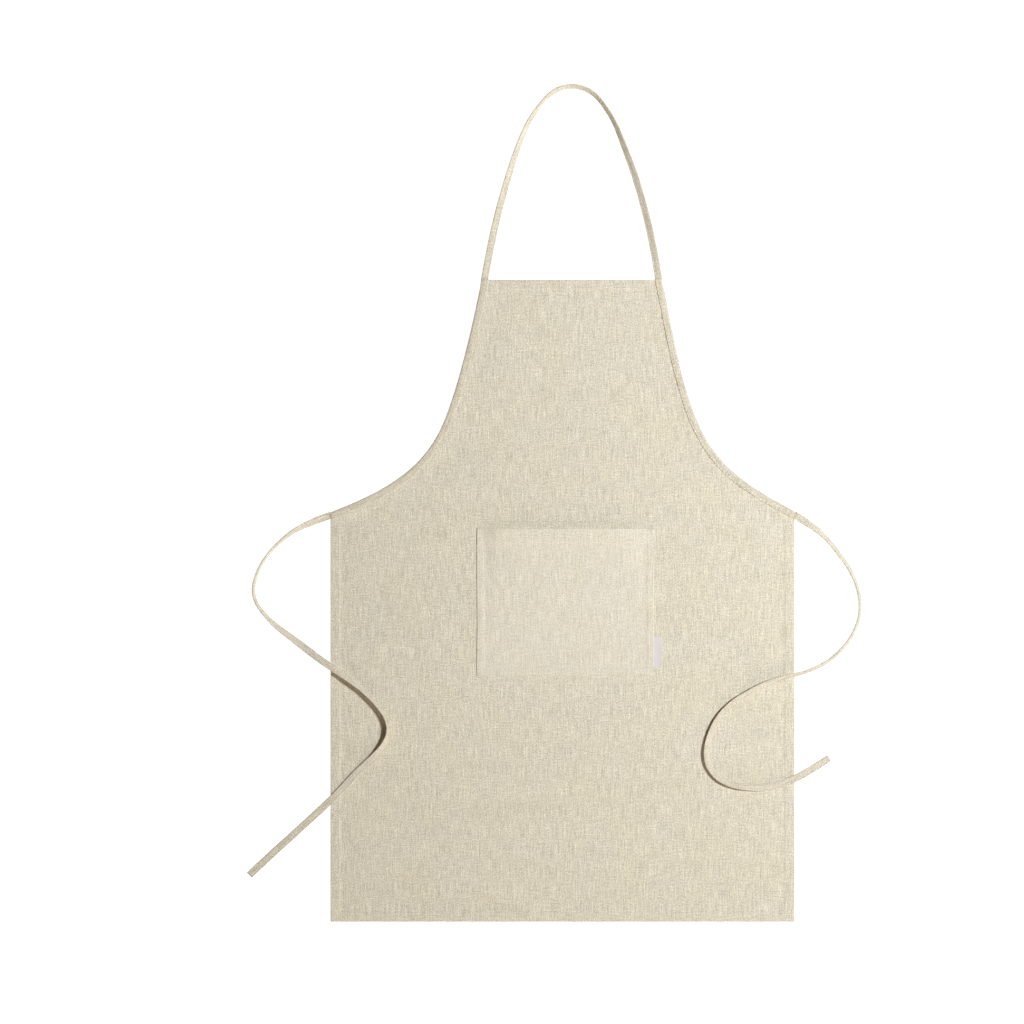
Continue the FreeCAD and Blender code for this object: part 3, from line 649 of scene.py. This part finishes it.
neck = Strap("neck_loop_strap", LOOP_ROUTE, LOOP_ROLL, LOOP_BASE, -1, 11)
left = Strap("left_tie_strap", LEFT_ROUTE, LEFT_ROLL, LEFT_BASE, +1, 23, lead=(4.0, 0.0))
right = Strap("right_tie_strap", RIGHT_ROUTE, RIGHT_ROLL, RIGHT_BASE, -1, 37, lead=(4.0, 0.0))
neck_obj = neck.build(1.25, 1.25)
left_obj = left.build(1.25, 1.0)
right_obj = right.build(1.25, 1.0)
neck_rows = neck.stitch_rows("neck_loop_stitches", 3.0, neck.s[-1] - 2.0)
left_rows = left.stitch_rows("left_tie_stitches", 3.0, left.s[-1] - 1.5)
right_rows = right.stitch_rows("right_tie_stitches", 3.0, right.s[-1] - 1.5)

# -------------------------------------------------------------- armhole edges
LEFT_EDGE = np.array([
    (-113.9, 313.2), (-115.7, 300.8), (-118.3, 288.5), (-120.9, 276.3),
    (-123.6, 264.0), (-126.3, 251.7), (-129.1, 239.4), (-132.0, 227.1),
    (-135.1, 214.8), (-138.2, 202.5), (-141.5, 190.3), (-144.8, 178.1),
    (-148.4, 165.9), (-152.1, 153.8), (-156.0, 141.7), (-160.1, 129.8),
    (-164.6, 118.0), (-169.6, 106.6), (-175.2, 95.4), (-181.6, 84.7),
    (-188.6, 74.5), (-196.4, 64.9), (-205.0, 55.8), (-214.2, 47.3),
    (-224.0, 39.3), (-234.4, 31.9), (-245.1, 25.0), (-256.2, 18.5),
    (-267.5, 12.4), (-279.0, 6.8), (-290.6, 1.5), (-302.2, -3.4),
    (-313.7, -8.0), (-325.0, -12.9),
])
RIGHT_EDGE = np.array([
    (139.7, 313.2), (141.8, 301.5), (144.3, 289.9), (146.7, 278.2),
    (149.0, 266.5), (151.3, 254.8), (153.6, 243.0), (156.0, 231.3),
    (158.4, 219.5), (161.0, 207.8), (163.6, 196.1), (166.4, 184.4),
    (169.5, 172.8), (172.7, 161.2), (176.2, 149.7), (179.9, 138.2),
    (184.0, 127.0), (188.5, 115.8), (193.4, 105.0), (198.8, 94.5),
    (204.7, 84.3), (211.3, 74.5), (218.5, 65.2), (226.3, 56.3),
    (234.8, 47.9), (243.8, 40.0), (253.3, 32.4), (263.1, 25.3),
    (273.2, 18.5), (283.5, 12.0), (293.9, 5.9), (304.4, 0.1),
    (314.8, -5.5), (325.0, -11.3),
])
X0, X1, Y0, Y1 = -325.0, 325.0, -586.4, 313.2


def lengthened(line, more):
    a = line[0] - (line[1] - line[0]) / np.linalg.norm(line[1] - line[0]) * more
    b = line[-1] + (line[-1] - line[-2]) / np.linalg.norm(line[-1] - line[-2]) * more
    return np.vstack([a, line, b])


def edge_curve(line, more, step=1.5):
    """A smooth line through the points, a little longer at both ends, with its
    inward direction and its distances."""
    p = lengthened(line, more)
    fine = []
    ext = np.vstack([2 * p[0] - p[1], p, 2 * p[-1] - p[-2]])
    for k in range(1, len(ext) - 2):
        a, b, c, d = ext[k - 1], ext[k], ext[k + 1], ext[k + 2]
        for f in np.arange(0, 1, 0.1):
            fine.append(
                0.5 * (2 * b + (c - a) * f + (2 * a - 5 * b + 4 * c - d) * f**2
                       + (3 * b - a - 3 * c + d) * f**3)
            )
    fine.append(p[-1])
    q = spaced(np.array(fine), step)
    t = np.gradient(q, axis=0)
    t = np.stack([softened(t[:, k], 2.0) for k in range(2)], 1)
    t /= np.linalg.norm(t, axis=1)[:, None]
    return q, t, along(q)


LEFT_CURVE = edge_curve(LEFT_EDGE, 2.6)
RIGHT_CURVE = edge_curve(RIGHT_EDGE, 2.6)


def from_line(x, y, line):
    """Distance of each point from a line, and how far along the line it is."""
    best = np.full(np.shape(x), 1e9)
    where = np.zeros(np.shape(x))
    s = along(line)
    for k in range(len(line) - 1):
        a, b = line[k], line[k + 1]
        d = b - a
        size = d @ d
        t = np.clip(((x - a[0]) * d[0] + (y - a[1]) * d[1]) / size, 0, 1)
        far = np.hypot(x - a[0] - t * d[0], y - a[1] - t * d[1])
        nearer = far < best
        best = np.where(nearer, far, best)
        where = np.where(nearer, s[k] + t * math.sqrt(size), where)
    return best, where


LEFT_LONG = lengthened(LEFT_EDGE, 20.0)
RIGHT_LONG = lengthened(RIGHT_EDGE, 20.0)
POCKET = (-119.8, 127.4, -242.0, -35.4)


# ----------------------------------------------------------------- panel cloth
def panel_height(x, y):
    """Height of the panel's front face, in millimetres."""
    x, y = np.asarray(x, float), np.asarray(y, float)
    dl, sl = from_line(x, y, LEFT_LONG)
    dr, sr = from_line(x, y, RIGHT_LONG)
    low = y < -16.0
    side_l = np.where(low, x - X0, 1e3)
    side_r = np.where(low, X1 - x, 1e3)
    bottom, top = y - Y0, Y1 - y
    hem = np.minimum(np.minimum(side_l, side_r), np.minimum(bottom, top))
    bound = np.minimum(dl, dr)
    inner = smooth(hem, 11.6, 14.6) * smooth(bound, 11.0, 26.0)
    field = (
        0.50 + 0.34 * noise2(x, y, 95, 150, 1) + 0.20 * noise2(x, y, 52, 70, 2)
        + 0.10 * noise2(x, y, 27, 34, 3)
    )
    z = 1.8 - 0.75 * inner + 1.05 * field * smooth(hem, 4.0, 45.0) * smooth(bound, 11.0, 50.0)
    # Puckers that the rows of stitches draw into the cloth.
    for d, s, seed, mask in (
        (side_l, y, 31, low), (side_r, y, 32, low),
        (bottom, x, 33, True), (top, x, 34, True),
    ):
        ripple = 0.30 * noise1(s, 3.8, seed) + 0.15 * noise1(s, 9.0, seed + 10)
        reach = np.exp(-(((d - 11.0) / 6.5) ** 2)) * smooth(d, 0.5, 4.0)
        z = z + np.where(mask, ripple * reach, 0.0)
        z = z - np.where(mask, 0.24 * np.exp(-(((d - 10.4) / 0.5) ** 2)), 0.0)
    for d, s, seed in ((dl, sl, 51), (dr, sr, 52)):
        ripple = 0.42 * noise1(s, 4.2, seed) + 0.22 * noise1(s, 10.5, seed + 10)
        z = z + ripple * np.exp(-(((d - 14.0) / 6.0) ** 2)) * smooth(d, 10.2, 12.5)
    return z


def side_marks(inner):
    """Distances from a hemmed edge at which the cloth has a row of points."""
    marks = [0, 0.08, 0.25, 0.5, 0.9, 1.6, 2.8, 4.4, 6.2, 8.0, 9.3, 9.9, 10.4, 10.9, 11.5, 12.2, 13.2, 14.8]
    return np.array(marks), inner


def panel_piece():
    marks, _ = side_marks(0)
    ys = np.concatenate([
        Y0 + marks,
        np.linspace(Y0 + marks[-1], Y1 - marks[-1], 432)[1:-1],
        (Y1 - marks)[::-1],
    ])
    left_in = np.array([p for p in offset_curve(LEFT_LONG, 1.2, +1)])
    right_in = np.array([p for p in offset_curve(RIGHT_LONG, 1.2, -1)])
    xl = np.maximum(X0, np.interp(ys, left_in[::-1, 1], left_in[::-1, 0]))
    xr = np.minimum(X1, np.interp(ys, right_in[::-1, 1], right_in[::-1, 0]))
    t = np.linspace(0, 1, 200)[1:-1]
    X = np.empty((len(ys), 2 * len(marks) + len(t)))
    for r in range(len(ys)):
        a, b = xl[r] + marks[-1], xr[r] - marks[-1]
        X[r] = np.concatenate([xl[r] + marks, a + (b - a) * t, (xr[r] - marks)[::-1]])
    Y = np.repeat(ys[:, None], X.shape[1], 1)
    T = panel_height(X, Y)
    low = (Y < -26.0)
    side = np.minimum(X - xl[:, None], xr[:, None] - X)
    side = np.where(low, side, 1e3)
    hem = np.minimum(side, np.minimum(Y - Y0, Y1 - Y))
    turned = 1 - smooth(hem, 11.6, 12.5)
    # The turned layers of the bib's hem stop at the bindings.
    dl, _ = from_line(X, Y, LEFT_LONG)
    dr, _ = from_line(X, Y, RIGHT_LONG)
    turned = turned * np.where(Y > 0, smooth(np.minimum(dl, dr), 10.2, 11.0), 1.0)
    B = (T - 0.6) * (1 - turned) + 0.0 * turned
    lift = 0.22 * (0.5 + 0.5 * noise2(X, Y, 60, 60, 5))
    B = np.maximum(B, 0.0) + turned * lift * 0.5
    B = np.where((turned > 0.5), B + 0.2 * np.exp(-(((hem - 10.4) / 0.5) ** 2)), B)
    q = np.sqrt(np.clip(1 - (1 - np.clip(hem / 0.9, 0, 1)) ** 2, 0.01, 1))
    mid = 0.9
    T = mid + (T - mid) * q
    B = mid + (B - mid) * q
    return sheet_mesh("panel_cloth", X, Y, T, B, (0.0, 0.0), PANEL_CANVAS)


def offset_curve(line, distance, side):
    n = len(line)
    out = []
    for i in range(n):
        d = line[min(i + 1, n - 1)] - line[max(i - 1, 0)]
        d = d / np.linalg.norm(d)
        out.append(line[i] + side * distance * np.array([-d[1], d[0]]))
    return np.array(out)


def sheet_mesh(name, X, Y, T, B, shift, material):
    """A closed cloth from a grid with a front height and a back height."""
    R, C = X.shape
    top = np.stack([X, Y, T], 2).reshape(-1, 3)
    bottom = np.stack([X, Y, B], 2).reshape(-1, 3)
    index = np.arange(R * C).reshape(R, C)
    a, b, c, d = index[:-1, :-1], index[:-1, 1:], index[1:, 1:], index[1:, :-1]
    front = np.stack([a, b, c, d], 2).reshape(-1, 4)
    back = np.stack([d, c, b, a], 2).reshape(-1, 4) + R * C
    low = R * C
    e0 = np.stack([index[0, :-1] + low, index[0, 1:] + low, index[0, 1:], index[0, :-1]], 1)
    e1 = np.stack([index[:-1, -1] + low, index[1:, -1] + low, index[1:, -1], index[:-1, -1]], 1)
    e2 = np.stack([index[-1, 1:] + low, index[-1, :-1] + low, index[-1, :-1], index[-1, 1:]], 1)
    e3 = np.stack([index[1:, 0] + low, index[:-1, 0] + low, index[:-1, 0], index[1:, 0]], 1)
    faces = np.concatenate([front, back, e0, e1, e2, e3])
    points = np.concatenate([top, bottom])
    uv = points[faces][:, :, :2] * MM + np.array(shift)
    return new_mesh(name, points, faces.tolist(), uv.reshape(-1, 2), material)


panel_obj = panel_piece()

# -------------------------------------------------------------------- bindings
BIND_PITCH = 5.2

# Across the binding from its outer fold to its inner edge, round the outside and
# back through the slot that the panel's edge sits in.
BINDING_SECTION = np.array([
    (10.00, 1.86), (10.02, 2.30), (9.88, 2.72), (9.50, 2.95), (9.00, 2.96),
    (8.65, 2.86), (8.30, 2.76), (7.95, 2.86), (7.55, 2.97), (6.40, 3.03),
    (5.00, 3.05), (3.60, 3.03), (2.30, 2.93), (1.30, 2.68), (0.55, 2.25),
    (0.12, 1.85), (0.00, 1.50), (0.12, 1.15), (0.55, 0.72), (1.30, 0.32),
    (2.30, 0.08), (3.60, 0.02), (5.50, 0.02), (7.50, 0.03), (7.95, 0.12),
    (8.30, 0.22), (8.65, 0.12), (9.20, 0.02), (9.80, 0.10), (10.00, 0.45),
    (10.00, 1.14), (1.00, 1.14), (1.00, 1.86),
])


def binding_piece(name, curve, side, seed):
    """side is +1 where the panel is to the left of the line's travel."""
    q, t, s = curve
    inward = np.stack([-t[:, 1], t[:, 0]], 1) * side
    a = BINDING_SECTION[None, :, 0]
    z = BINDING_SECTION[None, :, 1]
    beat = np.cos((s - 4.0) / BIND_PITCH * 2 * math.pi)
    edge = 0.30 * beat + 0.22 * noise1(s, 3.6, seed) + 0.16 * noise1(s, 7.3, seed + 1)
    puff = 0.14 * beat + 0.16 * noise1(s, 3.6, seed + 2) + 0.12 * noise1(s, 8.0, seed + 3)
    wave = 0.10 * noise1(s, 5.2, seed + 4)
    ends = smooth(s, 0.0, 5.0) * smooth(s[-1] - s, 0.0, 5.0)
    thin = 0.74 + 0.26 * ends
    A = a + edge[:, None] * smooth(a, 5.0, 10.0) * (z > 1.9) + wave[:, None] * (1 - smooth(a, 0.0, 3.0))
    Z = z + puff[:, None] * smooth(a, 2.0, 9.0) * (z > 1.9)
    Z = np.where(z > 1.9, 0.9 + (Z - 0.9) * thin[:, None], Z)
    Z = np.clip(Z, 0.02, 3.4)
    points = np.empty((len(q), a.shape[1], 3))
    points[:, :, 0] = q[:, None, 0] + inward[:, None, 0] * A
    points[:, :, 1] = q[:, None, 1] + inward[:, None, 1] * A
    points[:, :, 2] = Z
    faces = sweep_faces(len(q), a.shape[1])
    if side < 0:
        faces = [f[::-1] for f in faces]
    uv = sweep_uv(BINDING_SECTION, s, 0.05 * seed % 0.29)
    if side < 0:
        sizes = [len(f) for f in faces]
        out, at = [], 0
        for k in sizes:
            out.append(uv[at:at + k][::-1])
            at += k
        uv = np.concatenate(out)
    obj = new_mesh(name, points.reshape(-1, 3), faces, uv, STRAP_CANVAS)
    at = np.arange(4.0, s[-1] - 4.0, BIND_PITCH)
    get = lambda field: np.stack([np.interp(at, s, field[:, k]) for k in range(2)], 1)
    p, tt, ii = get(q), get(t), get(inward)
    lift = 0.14 + 0.16 * noise1(at, 3.6, seed + 2) + 0.12 * noise1(at, 8.0, seed + 3)
    row = p + ii * 8.6
    c = np.column_stack([row, 2.80 + lift])
    h = np.column_stack([tt, np.zeros(len(at))])
    up = np.tile([0.0, 0.0, 1.0], (len(at), 1))
    back_at = at[:-1] + BIND_PITCH / 2
    p2 = np.stack([np.interp(back_at, s, q[:, k]) for k in range(2)], 1)
    i2 = np.stack([np.interp(back_at, s, inward[:, k]) for k in range(2)], 1)
    t2 = np.stack([np.interp(back_at, s, t[:, k]) for k in range(2)], 1)
    c2 = np.column_stack([p2 + i2 * 8.3, np.full(len(back_at), 0.34)])
    rows = stitches(
        name.replace("cloth", "stitches"), np.concatenate([c, c2]),
        np.concatenate([h, np.column_stack([t2, np.zeros(len(back_at))])]),
        np.concatenate([up, -up[:-1]]), seed + 9, scale=1.45,
    )
    return obj, rows


left_bind, left_bind_rows = binding_piece("left_binding_cloth", LEFT_CURVE, +1, 61)
right_bind, right_bind_rows = binding_piece("right_binding_cloth", RIGHT_CURVE, -1, 71)


# ---------------------------------------------------------------------- pocket
def pocket_height(x, y):
    """Front and back heights of the pocket's cloth over the panel."""
    px0, px1, py0, py1 = POCKET
    base = panel_height(x, y)
    dl, dr, db, dt = x - px0, px1 - x, y - py0, py1 - y
    sewn = np.minimum(np.minimum(dl, dr), db)
    edge = np.minimum(sewn, dt)
    margin = 1 - smooth(sewn, 7.5, 10.5)
    hem = 1 - smooth(dt, 17.0, 22.0)
    # The mouth gapes: most in its middle third, nothing at the seams.
    across = np.clip((x - px0 - 5) / (px1 - px0 - 10), 0, 1)
    arch = np.sin(math.pi * across) ** 0.42 * (1 + 0.12 * np.sin(math.pi * 3.1 * across + 0.6)) * (1.12 - 0.30 * across)
    up = np.clip((y - py0) / (py1 - py0), 0, 1)
    gape = 5.0 * arch * up ** 3.4 + 0.7 * arch * up
    ripple = noise2(x, y, 46, 62, 81) * 0.28 + noise2(x, y, 21, 30, 82) * 0.10
    gape = gape * (1 - margin) * smooth(sewn, 5.0, 28.0) + ripple * smooth(edge, 8.0, 40.0) * 0.8
    gape = np.maximum(gape, 0.0)
    pucker = np.zeros_like(x)
    for d, s, seed in ((dl, y, 83), (dr, y, 84), (db, x, 85)):
        pucker += (0.17 * noise1(s, 4.6, seed) + 0.09 * noise1(s, 9.5, seed + 9)) * np.exp(
            -(((d - 3.5) / 5.0) ** 2)
        )
        pucker -= 0.15 * np.exp(-(((d - 2.2) / 0.55) ** 2))
    pucker += 0.12 * noise1(x, 6.0, 87) * np.exp(-(((dt - 18.0) / 5.0) ** 2))
    pucker -= 0.10 * np.exp(-(((dt - 18.0) / 0.6) ** 2))
    layers = 0.6 + 0.6 * margin + 1.1 * hem * (1 - 0.5 * margin)
    front = base + 0.05 + layers + gape + pucker
    thickness = 0.6 + 0.55 * margin + 1.1 * hem * (1 - 0.5 * margin)
    back = front - thickness - pucker * 0.9
    back = np.maximum(back, base + 0.04)
    return front, back, edge


def pocket_piece():
    px0, px1, py0, py1 = POCKET
    near = np.array([0, 0.08, 0.25, 0.5, 0.8, 1.2, 1.7, 2.0, 2.25, 2.6, 3.2, 4.2, 5.6, 7.2, 8.6, 10.0])
    top = np.array([0, 0.08, 0.25, 0.5, 0.8, 1.4, 2.6, 4.2, 6.2, 8.4, 10.6, 12.8, 15.0, 16.6, 17.5, 18.0, 18.5, 19.2, 20.4])
    xs = np.concatenate([px0 + near, np.linspace(px0 + 10, px1 - 10, 118)[1:-1], (px1 - near)[::-1]])
    ys = np.concatenate([py0 + near, np.linspace(py0 + 10, py1 - 20.4, 96)[1:-1], (py1 - top)[::-1]])
    X, Y = np.meshgrid(xs, ys)
    F, B, edge = pocket_height(X, Y)
    # The edges wander a little, as a pressed fold does.
    sewn_l = np.exp(-((X - px0) / 6.0) ** 2) * 0.35 * noise1(Y, 24, 91)
    sewn_r = np.exp(-((px1 - X) / 6.0) ** 2) * 0.35 * noise1(Y, 26, 92)
    sewn_b = np.exp(-((Y - py0) / 6.0) ** 2) * 0.35 * noise1(X, 25, 93)
    mouth = np.exp(-((py1 - Y) / 6.0) ** 2) * 0.16 * noise1(X, 30, 94)
    q = np.sqrt(np.clip(1 - (1 - np.clip(edge / 0.45, 0, 1)) ** 2, 0.012, 1))
    mid = (F + B) / 2
    F, B = mid + (F - mid) * q, mid + (B - mid) * q
    return sheet_mesh(
        "pocket_cloth", X + sewn_l + sewn_r, Y + sewn_b + mouth, F, B, (0.0131, 0.0074),
        POCKET_CANVAS,
    )


pocket_obj = pocket_piece()


# ----------------------------------------------------- stitches on the flat work
def flat_row(points_xy, heads_xy, height, seed, name, back_z=None):
    """A row on the front face, and where back_z is given the same on the back."""
    p = np.asarray(points_xy, float)
    h = np.column_stack([heads_xy, np.zeros(len(p))])
    up = np.tile([0.0, 0.0, 1.0], (len(p), 1))
    c = np.column_stack([p, height])
    if back_z is None:
        return stitches(name, c, h, up, seed)
    q = p[:-1] + (p[1:] - p[:-1]) * 0.5
    c2 = np.column_stack([q, np.full(len(q), back_z)])
    return stitches(
        name, np.concatenate([c, c2]), np.concatenate([h, h[:-1]]),
        np.concatenate([up, -up[:-1]]), seed,
    )


def straight_row(name, start, end, seed, lift=0.10, back_z=0.34, height=None):
    a, b = np.array(start, float), np.array(end, float)
    n = int(np.linalg.norm(b - a) / 3.2)
    d = (b - a) / np.linalg.norm(b - a)
    p = a + d * (1.6 + 3.2 * np.arange(n))[:, None]
    z = panel_height(p[:, 0], p[:, 1]) if height is None else height(p[:, 0], p[:, 1])
    return flat_row(p, np.tile(d, (n, 1)), z + lift, seed, name, back_z)


bottom_rows = straight_row("bottom_hem_stitches", (-324.0, Y0 + 10.4), (324.0, Y0 + 10.4), 101)
left_hem_rows = straight_row("left_hem_stitches", (X0 + 10.4, Y0 + 11.6), (X0 + 10.4, -28.0), 102)
right_hem_rows = straight_row("right_hem_stitches", (X1 - 10.4, Y0 + 11.6), (X1 - 10.4, -27.0), 103)
bib_rows = straight_row("bib_hem_stitches", (-104.0, Y1 - 10.4), (130.0, Y1 - 10.4), 104)


def pocket_top(x, y):
    return pocket_height(np.asarray(x, float), np.asarray(y, float))[0]


px0, px1, py0, py1 = POCKET


def pocket_seam():
    parts = []
    for a, b in (
        ((px0 + 2.2, py1 - 1.0), (px0 + 2.2, py0 + 2.2)),
        ((px0 + 2.2, py0 + 2.2), (px1 - 2.2, py0 + 2.2)),
        ((px1 - 2.2, py0 + 2.2), (px1 - 2.2, py1 - 1.0)),
    ):
        a, b = np.array(a), np.array(b)
        n = int(np.linalg.norm(b - a) / 3.2)
        d = (b - a) / np.linalg.norm(b - a)
        p = a + d * (1.6 + 3.2 * np.arange(n))[:, None]
        parts.append((p, np.tile(d, (n, 1))))
    p = np.concatenate([q[0] for q in parts])
    d = np.concatenate([q[1] for q in parts])
    z = pocket_top(p[:, 0], p[:, 1]) + 0.10
    back = panel_height(p[:, 0], p[:, 1]) - 0.6
    up = np.tile([0.0, 0.0, 1.0], (len(p), 1))
    h = np.column_stack([d, np.zeros(len(p))])
    shifted = p + d * 1.6
    c2 = np.column_stack([shifted, np.maximum(back, 0.30)])
    return stitches(
        "pocket_seam_stitches", np.concatenate([np.column_stack([p, z]), c2]),
        np.concatenate([h, h]), np.concatenate([up, -up]), 111,
    )


pocket_seam_rows = pocket_seam()
pocket_hem_rows = straight_row(
    "pocket_hem_stitches", (px0 + 10.5, py1 - 18.0), (px1 - 10.5, py1 - 18.0), 112,
    back_z=None, height=pocket_top,
)


def bar_tack(places, name, seed):
    """Dense short stitches side by side: (x, y, along_x) of each tack's middle."""
    c, h = [], []
    for x, y, flat, height, half in places:
        for k in np.arange(-half, half + 0.01, 0.62):
            px, py = (x + k, y) if flat else (x, y + k)
            c.append((px, py, height(px, py)))
            h.append((0.12, 1.0, 0.0) if flat else (1.0, 0.12, 0.0))
    c = np.array(c, float)
    up = np.tile([0.0, 0.0, 1.0], (len(c), 1))
    return stitches(name, c, np.array(h), up, seed, scale=0.8)


pocket_tacks = bar_tack(
    [
        (px0 + 5.2, py1 - 2.0, True, lambda x, y: float(pocket_top(x, y)) + 0.08, 3.0),
        (px1 - 5.2, py1 - 2.0, True, lambda x, y: float(pocket_top(x, y)) + 0.08, 3.0),
    ],
    "pocket_bar_tack_threads", 121,
)
end_tacks = bar_tack(
    [
        (-323.0, -16.9, False, lambda x, y: 3.06, 3.0),
        (323.0, -15.4, False, lambda x, y: 3.06, 3.0),
    ],
    "binding_end_tack_threads", 122,
)


# ----------------------------------------------------------------------- label
def label_piece():
    """A folded ribbon: its two ends are under the pocket's edge and its fold is out
    to the side, lifted a little."""
    length, low, high = 11.2, -229.3, -187.3
    x_in = 126.0
    x_out = 127.6 + length
    top = []
    for x in np.linspace(x_in, x_out - 0.35, 16):
        top.append((x, 0.26))
    fold = [(x_out - 0.35 + 0.35 * math.sin(a), 0.26 * math.cos(a)) for a in np.linspace(0.3, math.pi - 0.3, 7)]
    under = [(x, -0.26) for x in np.linspace(x_out - 0.35, x_in, 16)]
    inner_under = [(x, -0.04) for x in np.linspace(x_in, x_out - 0.55, 12)]
    inner_top = [(x, 0.04) for x in np.linspace(x_out - 0.55, x_in, 12)]
    section = np.array(top + fold + under + inner_under + inner_top)
    ys = np.concatenate([[low, low + 0.1, low + 0.4], np.linspace(low + 1.0, high - 1.0, 40), [high - 0.4, high - 0.1, high]])
    rings = []
    for y in ys:
        f = (section[:, 0] - x_in) / (x_out - x_in)
        lift = 0.75 * f**2 * (1 + 0.35 * math.sin((y - low) * 0.11))
        seat = 2.34 + 0.10 * math.sin((y - low) * 0.23) * f
        wander = 0.18 * float(noise1(np.array([y]), 9.0, 131)[0]) * f
        rings.append(np.column_stack([section[:, 0] + wander, np.full(len(section), y), seat + lift + section[:, 1]]))
    points = np.concatenate(rings)
    faces = sweep_faces(len(ys), len(section))
    uv = sweep_uv(section, ys - low, 0.01)
    faces = [f[::-1] for f in faces]
    out, at = [], 0
    for f in faces:
        out.append(uv[at:at + len(f)][::-1])
        at += len(f)
    return new_mesh("side_label_ribbon", points, faces, np.concatenate(out), RIBBON)


label_obj = label_piece()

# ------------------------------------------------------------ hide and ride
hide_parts("body_panel", "bib_hem", "left_hem", "right_hem", "bottom_hem")
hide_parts("left_binding")
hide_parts("right_binding")
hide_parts("pocket")
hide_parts("bottom_hem_stitching")
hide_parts("left_hem_stitching")
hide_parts("right_hem_stitching")
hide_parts("bib_hem_stitching")
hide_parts("left_binding_stitching")
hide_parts("right_binding_stitching")
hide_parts("pocket_seam_stitching")
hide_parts("pocket_hem_stitching")
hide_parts("pocket_bar_tacks")
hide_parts("binding_end_tacks")
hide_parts("neck_loop")
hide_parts("neck_loop_stitching")
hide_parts("left_tie")
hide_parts("left_tie_stitching")
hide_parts("right_tie")
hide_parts("right_tie_stitching")
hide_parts("side_label")

for piece in (
    panel_obj, left_bind, right_bind, pocket_obj, bottom_rows, left_hem_rows,
    right_hem_rows, bib_rows, left_bind_rows, right_bind_rows, pocket_seam_rows,
    pocket_hem_rows, pocket_tacks, end_tacks,
):
    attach(piece, "apron")
for piece in (neck_obj, neck_rows):
    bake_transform(piece)
for strap, body, pieces in (
    (left, "left_strap", (left_obj, left_rows)),
    (right, "right_strap", (right_obj, right_rows)),
):
    for piece in pieces:
        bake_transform(piece)
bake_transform(label_obj)


# ------------------------------------------------------------- floor and light
floor_mesh = bpy.data.meshes.new("floor")
far = 12.0
floor_mesh.from_pydata(
    [(-far, -far, -0.0002), (far, -far, -0.0002), (far, far, -0.0002), (-far, far, -0.0002)],
    [], [(0, 1, 2, 3)],
)
floor = link(bpy.data.objects.new("floor", floor_mesh))
paper = bpy.data.materials.new("floor")
paper.use_nodes = True
paper.node_tree.nodes.clear()
g = Graph(paper.node_tree)
matt = g.node("ShaderNodeBsdfDiffuse")
matt.inputs["Color"].default_value = (0.22, 0.22, 0.22, 1)
glow = g.node("ShaderNodeEmission")
glow.inputs["Color"].default_value = (1, 1, 1, 1)
glow.inputs["Strength"].default_value = 0.97
both = g.node("ShaderNodeAddShader")
paper.node_tree.links.new(matt.outputs[0], both.inputs[0])
paper.node_tree.links.new(glow.outputs[0], both.inputs[1])
out = g.node("ShaderNodeOutputMaterial")
paper.node_tree.links.new(both.outputs[0], out.inputs[0])
floor_mesh.materials.append(paper)

world = bpy.data.worlds.new("studio")
scene.world = world
world.use_nodes = True
world.node_tree.nodes["Background"].inputs["Color"].default_value = (1.0, 0.74, 0.50, 1)
world.node_tree.nodes["Background"].inputs["Strength"].default_value = 0.10



def soft_light(name, place, target, size, power, colour):
    data = bpy.data.lights.new(name, "AREA")
    data.shape = "DISK"
    data.size = size
    data.energy = power
    data.color = colour
    lamp = link(bpy.data.objects.new(name, data))
    lamp.location = place
    lamp.rotation_mode = "QUATERNION"
    lamp.rotation_quaternion = (Vector(target) - lamp.location).to_track_quat("-Z", "Y")


soft_light("key", (1.62, 0.32, 2.45), (0.0, 0.40, 0.0), 0.45, 85, (0.97, 1.0, 1.02))
soft_light("low", (0.1, -3.7, 1.2), (0.0, 0.3, 0.0), 2.6, 58, (1.0, 0.90, 0.80))
